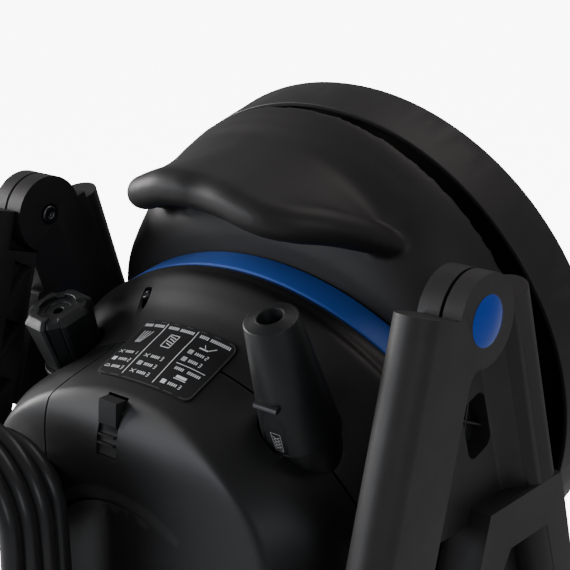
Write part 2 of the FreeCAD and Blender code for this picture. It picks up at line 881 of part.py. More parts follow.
def side_frame():
    """The right side frame: post with half a hinge disc, widening to a side panel, wheel arch and foot."""
    plate_x0, plate_x1 = hinge_inner_x, hinge_mid_x - part_gap / 2
    disc = rod(hinge_disc_radius, vec(plate_x0, 0, 0), along_x, plate_x1 - plate_x0)
    strip = box(plate_x0, plate_x1, post_front_edge, post_tube_offset, post_plate_low, 0)
    neck = box(plate_x0, plate_x1, post_neck_inset - hinge_disc_radius, hinge_disc_radius, post_neck_low, 0)
    shoulder = box(plate_x0, plate_x1, 0, post_tube_offset, post_shoulder_low, post_tube_top)
    pipe = tube(post_tube_offset, post_tube_top, post_tube_length)
    a0, a1, b0, b1 = frame_window
    window = box(0, far, b0, b1, a1, a0)
    window = window.makeFillet(window_corner, [e for e in window.Edges if e.BoundBox.XLength > hinge_mid_x])
    post = disc.fuse([strip.fuse(neck), shoulder, pipe]).cut(window)
    post = lean(post, post_lean)
    ear = side_prism(frame_ear, plate_x0, plate_x1)
    body = post.fuse([side_panel(plate_x0, hinge_outer_x), ear.makeFillet(ear_corner, ear_edges(ear))])
    seat = rod(spindle_radius, vec(plate_x0 + spindle_skin, 0, 0), along_x, hinge_half)
    hole = rod(bolt_shank_radius, vec(0, 0, 0), along_x, far)
    well = rod(bolt_well_radius, vec(0, 0, 0), along_x, plate_x0 + bolt_well_depth)
    arm_disc = rod(hinge_disc_radius + part_gap, vec(plate_x1, 0, 0), along_x, hinge_outer_x)
    return body.cut(arm_room()).cut(arm_disc).cut(seat).cut(hole).cut(well).removeSplitter()


def arm_room():
    """The space that the hanging arm needs beside the frame's half disc."""
    room = box(0, hinge_mid_x, -far, part_gap - arm_plate_edge, -arm_length, 0)
    return lean(room, -arm_lean_angle).cut(rod(hinge_disc_radius, origin, along_x, hinge_outer_x))


def ear_edges(ear):
    """The edge along the ear's top corner."""
    top_z = frame_ear[0][1]
    return [e for e in ear.Edges if e.BoundBox.XLength > through and e.BoundBox.ZMax > top_z - through]


def side_panel(x0, x1):
    """The side frame below the post, with a deep border and a thinner web."""
    angle = math.radians(post_lean)
    top_z = frame_panel_top
    top_shift = math.tan(angle) * top_z
    top_back = (post_tube_offset + tube_half_y) / math.cos(angle) - top_shift
    top_front = post_front_edge / math.cos(angle) - top_shift
    foot_z = lower_floor - frame_foot_drop
    waist_y = frame_front_low + frame_waist
    outline = [
        (top_front, top_z), (top_back - frame_tuck, top_z), (frame_back_y, frame_knee_z),
        (frame_back_y, foot_z), (frame_foot_front, foot_z), (frame_foot_front, frame_heel_z),
        (frame_front_low, frame_front_z), (waist_y, frame_waist_z),
    ]
    plate = side_prism(outline, x0, x1)
    pocket_top = top_z - frame_pocket_top
    pocket_foot = lower_floor + frame_pocket_foot
    pocket_back = frame_back_y - frame_border
    pocket_heel = frame_foot_front + frame_border
    inner = [
        (top_front + frame_border + frame_pocket_front, pocket_top), (top_back - frame_border, pocket_top),
        (pocket_back, frame_knee_z - frame_pocket_knee), (pocket_back, pocket_foot),
        (pocket_heel, pocket_foot), (pocket_heel, frame_front_z),
        (frame_front_low + frame_border, frame_front_z + frame_pocket_rise),
        (waist_y + frame_border, frame_waist_z),
    ]
    pocket = side_prism(inner, x0 + frame_panel, far)
    arch = rod(wheel_arch_radius, vec(0, axle_y, wheel_z()), along_x, far)
    return plate.cut(pocket).cut(arch)


def wheel_z():
    return wheel_radius - hinge_height


def hinge_spindle():
    """Flanged bolt that joins the two halves of a hinge; its star-socket head faces inwards."""
    end = hinge_mid_x + spindle_past_mid
    spindle_x = hinge_inner_x + spindle_skin
    spindle = rod(spindle_radius, vec(spindle_x, 0, 0), along_x, end - spindle_x)
    seat_x = hinge_inner_x + bolt_well_depth
    shank = rod(bolt_shank_radius, vec(seat_x - overlap, 0, 0), along_x, spindle_x - seat_x + 2 * overlap)
    head_x = hinge_inner_x - bolt_head_proud
    head = rod(bolt_head_radius, vec(head_x, 0, 0), along_x, seat_x - head_x)
    socket = rod(bolt_socket_radius, vec(head_x - through, 0, 0), along_x, bolt_socket_depth + through)
    return spindle.fuse([shank, head]).cut(socket)


def handle_arm():
    """The right arm of the handle, drawn upright below the hinge axis, operator's side towards -Y."""
    plate_x0, plate_x1 = hinge_mid_x + part_gap / 2, hinge_outer_x
    disc = rod(hinge_disc_radius, vec(plate_x0, 0, 0), along_x, plate_x1 - plate_x0)
    pipe = tube(-arm_tube_offset, arm_tube_top, arm_length + arm_tube_top + grip_radius)
    back, tube_back = -arm_plate_edge, tube_half_y - arm_tube_offset
    web_end = arm_web_knee - arm_web_taper
    taper = [(-arm_tube_offset, arm_web_top), (back, arm_web_top), (back, arm_web_knee), (tube_back, web_end),
             (-arm_tube_offset, web_end)]
    below_disc = -math.sqrt((hinge_disc_radius + part_gap) ** 2 - arm_plate_edge ** 2)
    web = side_prism(taper, plate_x0, plate_x1)
    low_side = box(0, hinge_outer_x, -far, 0, -arm_length, below_disc - through)
    inner_web = side_prism(taper, hinge_inner_x + part_gap, plate_x1).common(low_side)
    sweep = rod(hinge_disc_radius + part_gap, origin, along_x, plate_x0)
    web = web.fuse(inner_web.cut(sweep))
    shoulder = box(plate_x0, plate_x1, -arm_tube_offset, 0, arm_shoulder_low, arm_tube_top)
    throat = box(plate_x0, plate_x1, -arm_tube_offset, 0, arm_throat_low, arm_web_top)
    hollow = rod(arm_throat_radius, vec(0, arm_throat_y, arm_throat_z), along_x, far)
    arm = disc.fuse([pipe.cut(sweep), web, shoulder, throat.cut(hollow)])
    for index in range(arm_pocket_count):
        z = arm_pocket_top - index * arm_pocket_pitch
        outline = [(arm_pocket_front, z), (arm_pocket_back, z - arm_pocket_slant),
                   (arm_pocket_front, z - arm_pocket_height)]
        arm = arm.cut(side_prism(outline, 0, hinge_inner_x + arm_pocket_depth))
    well_x = hinge_mid_x + spindle_past_mid + part_gap
    well = rod(button_radius + button_side_gap, vec(well_x, 0, 0), along_x, far)
    bore = rod(spindle_radius + running_clearance, origin, along_x, well_x + overlap)
    bar_hole = rod(crossbar_radius + part_gap / 2, vec(0, -arm_tube_offset, -arm_length), along_x, hinge_mid_x)
    return lean(arm.cut(well).cut(bore).cut(bar_hole), -arm_lean_angle)


def crossbar():
    bar = rod(crossbar_radius, vec(-hinge_mid_x, -arm_tube_offset, -arm_length), along_x, 2 * hinge_mid_x)
    return lean(bar, -arm_lean_angle)


def grip():
    """A soft sleeve on the crossbar with shallow finger grooves round it."""
    y, z = -arm_tube_offset, -arm_length
    sleeve = rod(grip_radius, vec(-grip_half_length, y, z), along_x, 2 * grip_half_length)
    bore = rod(crossbar_radius, vec(-far, y, z), along_x, 2 * far)
    cuts = []
    for index in range(grip_groove_count):
        x = (index - (grip_groove_count - 1) / 2) * grip_groove_pitch - grip_groove_width / 2
        ring = rod(grip_radius + through, vec(x, y, z), along_x, grip_groove_width)
        core = rod(grip_radius - grip_groove_depth, vec(x - through, y, z), along_x,
                   grip_groove_width + 2 * through)
        cuts.append(ring.cut(core))
    return lean(sleeve.cut(bore).cut(Part.makeCompound(cuts)), -arm_lean_angle)


def hinge_button():
    """Push button in the right arm's disc, with a low domed face."""
    x0 = hinge_outer_x - button_thickness
    barrel = rod(button_radius, vec(x0, 0, 0), along_x, button_thickness)
    dome_radius = (button_radius ** 2 + button_crown ** 2) / (2 * button_crown)
    ball = Part.makeSphere(dome_radius, vec(hinge_outer_x + button_crown - dome_radius, 0, 0))
    cap = ball.common(rod(button_radius, vec(hinge_outer_x - hair, 0, 0), along_x, far))
    return barrel.fuse(cap)


# ---- reel ---------------------------------------------------------------------------------------

def reel_rim():
    """The reel's cup: a drafted rim, a rounded corner and a dished face down to the hub."""
    face_y = rim_far - reel_face_recess
    inner_y = rim_far - rim_wall
    corner = rim_far_radius - rim_corner
    boss_y = face_y + hub_boss_height
    bore = reel_bore + running_clearance
    outline = [
        (rim_near, rim_near_radius), (rim_far - rim_corner, rim_far_radius),
        (rim_far - rim_bead, rim_far_radius - rim_bead), (rim_far, corner),
        (rim_far, corner - rim_land), (face_y, reel_face_inner),
        (face_y, reel_hub_radius), (boss_y, reel_hub_radius - hub_chamfer), (boss_y, bore),
        (face_y - rim_wall, bore), (face_y - rim_wall, reel_face_inner),
        (inner_y, corner - rim_inner_land), (inner_y, corner - rim_inner_corner),
        (rim_far - rim_corner - rim_inner_corner, rim_far_radius - rim_wall),
        (rim_near, rim_near_radius - rim_wall),
    ]
    cup = turned_profile(outline, -reel_axis_drop)
    boss = rod(crank_boss_radius, vec(0, face_y - overlap, crank_z()), along_y, crank_boss_height + overlap)
    return cup.fuse(boss).cut(rod(crank_pin_radius, vec(0, 0, crank_z()), along_y, far))


def crank_z():
    return -reel_axis_drop - crank_offset


def reel_core():
    """Winding core and the flange on the shroud's side, on the same bore as the rim."""
    back = rim_far - reel_face_recess - rim_wall
    hub = reel_bore + running_clearance
    outline = [
        (core_near, core_flange_radius), (core_near + core_flange, core_flange_radius),
        (core_near + core_flange, core_radius), (back, core_radius), (back, core_radius - core_wall),
        (core_near + core_flange, core_radius - core_wall), (core_near + core_flange, hub + core_hub_wall),
        (back, hub + core_hub_wall), (back, hub), (core_near, hub),
    ]
    return turned_profile(outline, -reel_axis_drop)


def reel_spindle():
    """Fixed hollow spindle the reel turns on, with a flange on the back plate and an outlet at its end."""
    z = -reel_axis_drop
    start = back_plate_y()
    end = rim_far - reel_face_recess + hub_boss_height + spindle_end_gap + keeper_thickness
    shaft_y = start + back_plate_thickness
    shaft = rod(reel_bore, vec(0, shaft_y, z), along_y, end - shaft_y)
    neck = rod(reel_bore, vec(0, start - spindle_flange, z), along_y, 2 * spindle_flange)
    keeper_y = end - keeper_thickness + part_gap
    keeper = rod(reel_bore + keeper_rim, vec(0, keeper_y, z), along_y, keeper_thickness)
    flange = rod(reel_bore + spindle_flange_rim, vec(0, start - spindle_flange, z), along_y, spindle_flange)
    bore = rod(outlet_bore, vec(0, 0, z), along_y, far)
    return shaft.fuse([keeper, flange, neck]).cut(bore)


def back_plate_y():
    return shroud_back - back_plate_set


def back_plate():
    """The plate that closes the shroud towards the reel and carries its spindle."""
    y0 = back_plate_y()
    slab = box(-far, far, y0, y0 + back_plate_thickness, -far, far)
    hole = rod(reel_bore + part_gap, vec(0, 0, -reel_axis_drop), along_y, far)
    return shroud_loft(wall + seat_gap).common(slab).cut(hole).common(above_floor())


def crank_pin():
    face_y = rim_far - reel_face_recess
    length = crank_boss_height + crank_knob_length + crank_head + 2 * part_gap
    pin = rod(crank_pin_radius, vec(0, face_y, crank_z()), along_y, length)
    head_y = face_y + length - crank_head
    head = rod(crank_pin_radius + crank_head_rim, vec(0, head_y, crank_z()), along_y, crank_head)
    return pin.fuse(head)


def crank_knob():
    y0 = rim_far - reel_face_recess + crank_boss_height + part_gap
    y1 = y0 + crank_knob_length
    bore = crank_pin_radius + running_clearance
    outline = [
        (y0, bore), (y0, crank_knob_radius - crank_knob_edge), (y0 + crank_knob_lead, crank_knob_radius),
        ((y0 + y1) / 2, crank_knob_waist), (y1 - crank_knob_nose, crank_knob_radius),
        (y1, crank_knob_radius - crank_knob_tip), (y1, bore),
    ]
    return turned_profile(outline, crank_z())


# ---- lower body ---------------------------------------------------------------------------------

def plan_outline(inset):
    half = body_half_width - inset
    front = front_face_y + inset
    nose = plan_front_half - inset
    return [(-half, plan_back_y - inset), (-half, plan_taper_y), (-nose, front), (nose, front),
            (half, plan_taper_y), (half, plan_back_y - inset)]


def lower_block(inset, z0, z1):
    block = plan_prism(plan_outline(inset), z0, z1)
    height, middle_y = z1 - z0, axle_y - plan_corner
    corners = [e for e in block.Edges if e.BoundBox.ZLength > height / 2 and e.BoundBox.YMax < middle_y]
    return block.makeFillet(plan_corner - inset, corners)


def wheel_arches(radius):
    cuts = []
    for x0 in (-far, wheel_arch_half_width):
        cuts.append(rod(radius, vec(x0, axle_y, wheel_z()), along_x, far - wheel_arch_half_width))
    return Part.makeCompound(cuts)


def arch_liner():
    """The lower body's own walls where the wheels stand."""
    cuts = []
    inner_x = wheel_arch_half_width - wall
    for x0 in (-far, inner_x):
        cuts.append(rod(wheel_arch_radius + wall, vec(x0, axle_y, wheel_z()), along_x, far - inner_x))
    return Part.makeCompound(cuts)


def lower_shells():
    outer = lower_block(0, lower_floor, upper_floor)
    inner = lower_block(wall, lower_floor - through, upper_floor + through).cut(arch_liner())
    shell = outer.cut(inner).cut(wheel_arches(wheel_arch_radius))
    front = shell.common(box(-far, far, -far, split_y, -far, far))
    back = shell.common(box(-far, far, split_y, far, -far, far))
    axle_hole = rod(axle_radius + part_gap, vec(-far, axle_y, wheel_z()), along_x, 2 * far)
    shaft_hole = rod(knob_shaft_radius + running_clearance, vec(knob_x, -far, knob_z), along_y, 2 * far)
    inlet_hole = rod(inlet_radius + inlet_neck_wall + part_gap, vec(inlet_x, -far, inlet_z), along_y, 2 * far)
    front = front.cut(axle_hole).cut(shaft_hole).cut(inlet_hole)
    room_y = core_near - reel_room_front
    reel_room = rod(rim_far_radius + reel_room_gap, vec(0, room_y, -reel_axis_drop), along_y, far)
    reel_room.rotate(origin, along_x, reel_tilt)
    back = back.cut(reel_room)
    return front, back


def base_tray():
    """Floor plate with the two upright cheeks that carry the axle and four posts under the pump."""
    top = lower_floor - tray_gap
    tray = lower_block(0, top - base_thickness, top).cut(wheel_arches(wheel_arch_radius))
    cheeks = []
    outer = wheel_arch_half_width - wall - carrier_gap
    y0, y1 = axle_y - carrier_half, axle_y + carrier_half
    for x0 in (-outer, outer - carrier_wall):
        cheeks.append(box(x0, x0 + carrier_wall, y0, y1, top - overlap, wheel_z() + carrier_rise))
    posts = []
    for x in (-pump_foot_spread, pump_foot_spread):
        for y in (motor_y - pump_foot_spread, motor_y + pump_foot_spread):
            height = pump_low_z() - part_gap - top + overlap
            posts.append(rod(pump_foot_radius, vec(x, y, top - overlap), along_z, height))
    bore = rod(axle_radius, vec(-far, axle_y, wheel_z()), along_x, 2 * far)
    return tray.fuse(cheeks + posts).cut(bore)


def feet():
    solids = []
    floor_z = -hinge_height
    top = lower_floor - base_thickness - tray_gap
    for side in (-1, 1):
        solids.append(rod(foot_radius, vec(side * foot_x, foot_y, floor_z), along_z, top - floor_z))
    return Part.makeCompound(solids)


def axle():
    reach = wheel_inner_x + wheel_width + axle_end
    return rod(axle_radius, vec(-reach, axle_y, wheel_z()), along_x, 2 * reach)


def wheel_turned(outline):
    """Revolve an x, radius outline about the axle."""
    face = face_of([vec(x, axle_y, wheel_z() + radius) for x, radius in outline])
    return face.revolve(vec(0, axle_y, wheel_z()), along_x, 360)


def wheel():
    x0, x1 = wheel_inner_x, wheel_inner_x + wheel_width
    rim = wheel_radius - tyre_depth
    bore = axle_radius + running_clearance
    mid = (x0 + x1) / 2
    outline = [
        (x0, bore), (x0, hub_radius), (mid - wheel_disc, hub_radius), (mid - wheel_disc, rim - wheel_rim_root),
        (x0 + tyre_edge, rim - wheel_rim_depth), (x0 + tyre_edge, rim),
        (x1 - tyre_edge, rim), (x1 - tyre_edge, rim - wheel_rim_depth),
        (mid + wheel_disc, rim - wheel_rim_root), (mid + wheel_disc, hub_radius), (x1, hub_radius), (x1, bore),
    ]
    body = wheel_turned(outline)
    window_z = wheel_z() + (hub_radius + rim) / 2
    window = rod(wheel_window_radius, vec(0, axle_y, window_z), along_x, far)
    for index in range(wheel_spokes):
        piece = window.copy()
        piece.rotate(vec(0, axle_y, wheel_z()), along_x, index * 360.0 / wheel_spokes)
        body = body.cut(piece)
    return body


def tyre():
    x0, x1 = wheel_inner_x, wheel_inner_x + wheel_width
    rim = wheel_radius - tyre_depth
    outline = [
        (x0 + tyre_edge, rim), (x0, rim + tyre_bead), (x0, wheel_radius - tyre_shoulder),
        (x0 + tyre_shoulder, wheel_radius), (x1 - tyre_shoulder, wheel_radius),
        (x1, wheel_radius - tyre_shoulder), (x1, rim + tyre_bead), (x1 - tyre_edge, rim),
    ]
    return wheel_turned(outline)


def hub_cap():
    x1 = wheel_inner_x + wheel_width + part_gap
    crown_x = x1 + cap_height + cap_crown
    outline = [
        (x1, axle_radius), (x1, cap_radius), (x1 + cap_height - cap_shoulder, cap_radius - cap_draft),
        (crown_x, cap_radius - cap_flat), (crown_x, 0), (x1 + cap_wall, 0), (x1 + cap_wall, axle_radius),
    ]
    return wheel_turned(outline)


def switch_knob():
    y1 = front_face_y - part_gap
    disc = rod(knob_radius, vec(knob_x, y1 - knob_disc, knob_z), along_y, knob_disc)
    x0, x1 = knob_x - knob_bar / 2, knob_x + knob_bar / 2
    reach = knob_radius - knob_bar_inset
    bar = box(x0, x1, y1 - knob_height, y1 - knob_disc + overlap, knob_z - reach, knob_z + reach)
    shaft = rod(knob_shaft_radius, vec(knob_x, y1 - overlap, knob_z), along_y, knob_shaft_length)
    return disc.fuse([bar, shaft])


def inlet():
    face = front_face_y - inlet_flange
    tip = face - inlet_length
    flange = rod(inlet_flange_radius, vec(inlet_x, face, inlet_z), along_y, inlet_flange)
    spigot = rod(inlet_radius, vec(inlet_x, tip, inlet_z), along_y, inlet_length + overlap)
    barb = rod(inlet_radius + inlet_barb, vec(inlet_x, tip + inlet_barb_place, inlet_z), along_y,
               inlet_barb_length)
    neck = rod(inlet_radius + inlet_neck_wall, vec(inlet_x, front_face_y, inlet_z), along_y, inlet_neck)
    bore = rod(inlet_bore, vec(inlet_x, -far, inlet_z), along_y, 2 * far)
    return flange.fuse([spigot, barb, neck]).cut(bore)


# ---- motor and pump -----------------------------------------------------------------------------

def motor_stator():
    """Finned can of the motor round its rotor."""
    can = rod(motor_radius, vec(0, motor_y, motor_z), along_z, motor_length)
    bore = rod(rotor_radius + rotor_gap, vec(0, motor_y, -far), along_z, far)
    low, high = motor_z + motor_fin_inset, motor_z + motor_length - motor_fin_inset
    fins = []
    for index in range(motor_fins):
        root, edge = motor_radius - through, motor_radius + motor_fin_depth
        fin = box(-motor_fin_half, motor_fin_half, root, edge, low, high)
        fin.rotate(origin, along_z, index * 360.0 / motor_fins)
        fin.translate(vec(0, motor_y, 0))
        fins.append(fin)
    return can.fuse(fins).cut(bore)


def end_shields():
    """The two bearing plates that close the can."""
    plates = []
    for z0 in (motor_z - shield_thickness, motor_z + motor_length):
        plate = rod(motor_radius, vec(0, motor_y, z0), along_z, shield_thickness)
        bore = rod(shaft_radius + running_clearance, vec(0, motor_y, -far), along_z, far)
        plates.append(plate.cut(bore))
    return Part.makeCompound(plates)


def motor_rotor():
    core = rod(rotor_radius, vec(0, motor_y, motor_z + rotor_inset), along_z, motor_length - 2 * rotor_inset)
    low = motor_z - shield_thickness - shaft_below
    high = motor_z + motor_length + shield_thickness + shaft_above
    shaft = rod(shaft_radius, vec(0, motor_y, low), along_z, high - low)
    return core.fuse(shaft)


def fan_wheel():
    z0 = motor_z + motor_length + shield_thickness + fan_wheel_gap
    disc = rod(fan_wheel_radius, vec(0, motor_y, z0), along_z, fan_wheel_disc)
    blades = []
    for index in range(fan_blade_count):
        blade = box(fan_blade_root, fan_wheel_radius - fan_blade_inset, -fan_blade_half, fan_blade_half,
                    z0 + fan_wheel_disc - through, z0 + fan_wheel_width)
        blade.rotate(origin, along_z, index * 360.0 / fan_blade_count)
        blade.translate(vec(0, motor_y, 0))
        blades.append(blade)
    hub = rod(shaft_radius + fan_hub_wall, vec(0, motor_y, z0), along_z, fan_wheel_width)
    bore = rod(shaft_radius, vec(0, motor_y, -far), along_z, far)
    return disc.fuse(blades + [hub]).cut(bore)


def pump_case():
    z1 = motor_z - shield_thickness
    case = rod(pump_radius, vec(0, motor_y, z1 - pump_length), along_z, pump_length)
    return case.cut(rod(shaft_radius + fan_hub_wall, vec(0, motor_y, z1 - pump_seal_depth), along_z, far))


def pump_head():
    """Valve block below the case, with the unloader valve on its front."""
    z1 = motor_z - shield_thickness - pump_length
    half = pump_head_side / 2
    block = box(-half, half, motor_y - half, motor_y + half, z1 - pump_head_length, z1)
    corners = [e for e in block.Edges if e.BoundBox.ZLength > pump_head_length / 2]
    block = block.makeChamfer(pump_head_corner, corners)
    z = z1 - pump_head_length / 2
    y0 = motor_y - half - unloader_length
    valve = rod(unloader_radius, vec(unloader_x, y0, z), along_y, unloader_length + unloader_root)
    cap = rod(unloader_radius + unloader_cap, vec(unloader_x, y0, z), along_y, unloader_radius)
    return block.fuse([valve, cap])


def pump_low_z():
    return motor_z - shield_thickness - pump_length - pump_head_length


def capacitor():
    foot = vec(capacitor_x, capacitor_y, lower_floor - tray_gap)
    return rod(capacitor_radius, foot, along_z, capacitor_length)


def switch_box():
    """The switch's own housing behind the front wall, round the knob's shaft."""
    half = switch_box_half
    y0 = front_face_y + wall
    body = box(knob_x - half, knob_x + half, y0, y0 + switch_box_depth, knob_z - half, knob_z + half)
    bore_radius = knob_shaft_radius + running_clearance
    return body.cut(rod(bore_radius, vec(knob_x, y0 - through, knob_z), along_y, knob_shaft_length + overlap))


# ---- cable --------------------------------------------------------------------------------------

def hank_radius(layer):
    """Bend radius of a layer's middle line, 0 for the inner layer."""
    return hank_inner + (2 * layer + 1) * cable_radius


def hank_low_z():
    return hank_top_z - hank_drop


def hank():
    """The outer shape of the hung hank: a racetrack ring, one layer thick next to the body."""
    def track(radius, y0, y1):
        top = rod(radius, vec(hank_x, y0, hank_top_z), along_y, y1 - y0)
        low = rod(radius, vec(hank_x, y0, hank_low_z()), along_y, y1 - y0)
        mid = box(hank_x - radius, hank_x + radius, y0, y1, hank_low_z(), hank_top_z)
        return top.fuse([low, mid])

    near = hank_back - hank_depth
    single = track(hank_inner + 2 * cable_radius, near, hank_back)
    layers = track(hank_inner + hank_layers * 2 * cable_radius, near, hank_back - 2 * cable_radius)
    return single.fuse(layers).cut(track(hank_inner, near - through, hank_back + through))


def cable_y():
    """The middle line of the turn next to the body."""
    return hank_back - cable_radius


def lead_x():
    return hank_x + hank_radius(0)


def tail_x():
    return hank_x - hank_radius(1)


def straight_cable(name, x, start_z):
    """Cable straight up from a level into the hank; its volume is printed beside section times length."""
    length = hank_low_z() - start_z
    whole = rod(cable_radius, vec(x, cable_y(), start_z), along_z, length)
    print(name, "radius", cable_radius, "no bend, volume / (section x length)",
          round(whole.Volume / (math.pi * cable_radius ** 2 * length), 4))
    return largest(whole.cut(hank()))


def cable_lead():
    """Cable from the gland into the inner layer of the hank."""
    return straight_cable("cable_lead", lead_x(), gland_top)


def cable_tail():
    """Cable from the plug up into the outer layer."""
    return straight_cable("cable_tail", tail_x(), plug_top)


def largest(shape):
    """The solid of a cut that matters, where slivers may be left beside it."""
    return max(shape.Solids, key=lambda solid: solid.Volume)


def body_skin():
    """The whole body's outer skin in the level frame, for pieces that seat on it."""
    upper = upper_space(0)
    upper.rotate(origin, along_x, reel_tilt)
    skin = upper.fuse(lower_block(0, lower_floor, upper_floor))
    skin.translate(vec(0, -part_gap, 0))
    return skin


def gland(skin):
    """Elbow strain relief low on the front, from which the cable rises; tapered towards its mouth."""
    x, y = lead_x(), cable_y()
    sleeve = rod(gland_radius, vec(x, y, gland_foot), along_z, gland_sleeve)
    taper_z = gland_foot + gland_sleeve
    taper = Part.makeCone(gland_radius, gland_taper, gland_top - taper_z, vec(x, y, taper_z), along_z)
    base = box(x - gland_base_half, x + gland_base_half, y + gland_base_set, front_face_y + wall,
               gland_foot - gland_base_low, gland_foot + gland_base_top)
    return sleeve.fuse([taper, base]).cut(skin)


def plug():
    """Round moulded plug hanging pins down on the cable's tail, with a hollow to grip on each side."""
    x, y = tail_x(), cable_y()
    shoulder = plug_top - plug_neck
    foot = plug_top - plug_length
    neck = Part.makeCone(plug_radius * plug_neck_share, cable_radius + plug_neck_wall, plug_neck,
                         vec(x, y, shoulder), along_z)
    crown = Part.makeCone(plug_radius, plug_radius * plug_crown_share, plug_crown,
                          vec(x, y, shoulder - plug_crown), along_z)
    body = rod(plug_radius, vec(x, y, foot), along_z, plug_length - plug_neck - plug_crown).fuse([crown, neck])
    hollow_x = plug_radius + plug_hollow - plug_hollow_depth
    for side in (-1, 1):
        body = body.cut(rod(plug_hollow, vec(x + side * hollow_x, -far, foot), along_y, 2 * far))
    return body


def plug_pins():
    """Two round contact pins."""
    pins = []
    foot = plug_top - plug_length
    for side in (-1, 1):
        start = vec(tail_x(), cable_y() + side * plug_pin_spacing / 2, foot - plug_pin_length)
        pins.append(rod(plug_pin_radius, start, along_z, plug_pin_length))
    return Part.makeCompound(pins)


def hook_base(z, skin):
    """Round foot on the body with the pin that carries a cable hook."""
    foot = rod(hook_base_radius, vec(hank_x, hook_base_face, z), along_y, front_face_y - hook_base_face)
    pin_y = hook_base_face - hook_pin_length
    pin = rod(hook_pin_radius, vec(hank_x, pin_y, z), along_y, hook_pin_length + overlap)
    return foot.cut(skin).fuse(pin)


def cable_hook(z, up):
    """Half-round saddle the cable lies on, with a lip at its end; up is 1 for the top hook, -1 below."""
    y1 = hook_base_face - part_gap
    y0 = hank_back - hank_depth - part_gap
    radius = hank_inner - part_gap
    shell = rod(radius, vec(hank_x, y0, z), along_y, y1 - y0)
    hollow = rod(radius - hook_wall, vec(hank_x, y0 - through, z), along_y, y1 - y0 - hook_wall + through)
    low, high = (-far, z - hook_open) if up > 0 else (z + hook_open, far)
    open_side = box(-far, far, -far, y1 - hook_wall, low, high)
    lip_far = z + up * hook_lip_reach
    lip_near = z + up * (radius - hook_wall)
    lip = box(hank_x - hook_lip_half, hank_x + hook_lip_half, y0 - hook_lip, y0,
              min(lip_far, lip_near), max(lip_far, lip_near))
    pin_y = y1 - hook_pin_length
    boss = rod(hook_pin_radius + hook_wall, vec(hank_x, pin_y - hook_pin_cover, z), along_y,
               hook_pin_length + hook_pin_cover - overlap)
    bore = rod(hook_pin_radius + running_clearance, vec(hank_x, pin_y - hook_pin_room, z), along_y, far)
    return shell.cut(hollow).cut(open_side).fuse([lip, boss]).cut(bore)


def fixed_hook(skin):
    """The lower hook in one piece with its foot."""
    low_z = hank_low_z()
    link_y = hook_base_face - part_gap - hook_link
    link = rod(hook_base_radius, vec(hank_x, link_y, low_z), along_y, part_gap + 2 * hook_link)
    return hook_base(low_z, skin).fuse([cable_hook(low_z, -1), link])


def build():
    os.makedirs("parts", exist_ok=True)
    collar, cover, cheek = upper_shells()
    write("collar", largest(collar.fuse(ring_seat()).cut(screw_wells())), True)
    write("collar_screws", collar_screws(), True)
    write("front_cover", cover, True)
    write("cheek_left", cheek, True)
    write("shroud", shroud(), True)
    write("trim_ring", trim_ring(), True)
    write("label_plate", label_plate(), True)
    write("latch", latch())
    write("latch_pin", latch_pin())
    for side, name in ((-1, "left"), (1, "right")):
        write("nozzle_holder_" + name, nozzle_holder(side))
    write("rough_nozzle", rough_nozzle())
    write("fan_nozzle", fan_nozzle())
    pieces = [("side_frame", side_frame()), ("hinge_bolt", hinge_spindle()), ("handle_arm", handle_arm()),
              ("hinge_button", hinge_button()), ("wheel", wheel()), ("tyre", tyre()), ("hub_cap", hub_cap())]
    for name, shape in pieces:
        write(name + "_right", shape)
        write(name + "_left", mirrored(shape))
    write("crossbar", crossbar())
    write("grip", grip())
    write("reel_rim", reel_rim(), True)
    write("reel_core", reel_core(), True)
    write("reel_spindle", reel_spindle(), True)
    write("back_plate", back_plate(), True)
    write("crank_pin", crank_pin(), True)
    write("crank_knob", crank_knob(), True)
    lower_front, lower_back = lower_shells()
    write("lower_front", lower_front)
    write("lower_back", lower_back)
    write("base_tray", base_tray())
    write("feet", feet())
    write("axle", axle())
    write("switch_knob", switch_knob())
    write("water_inlet", inlet())
    write("motor_stator", motor_stator())
    write("motor_shields", end_shields())
    write("motor_rotor", motor_rotor())
    write("fan_wheel", fan_wheel())
    write("pump_case", pump_case())
    write("pump_head", pump_head())
    write("switch_box", switch_box())
    write("capacitor", capacitor())
    skin = body_skin()
    write("hook_base", hook_base(hank_top_z, skin))
    write("cable_hook_upper", cable_hook(hank_top_z, 1))
    write("cable_hook_lower", fixed_hook(skin))
    write("cable_gland", gland(skin))
    write("cable_lead", cable_lead())
    write("cable_hank", hank())
    write("cable_tail", cable_tail())
    write("plug_body", plug())
    write("plug_pins", plug_pins())


build()
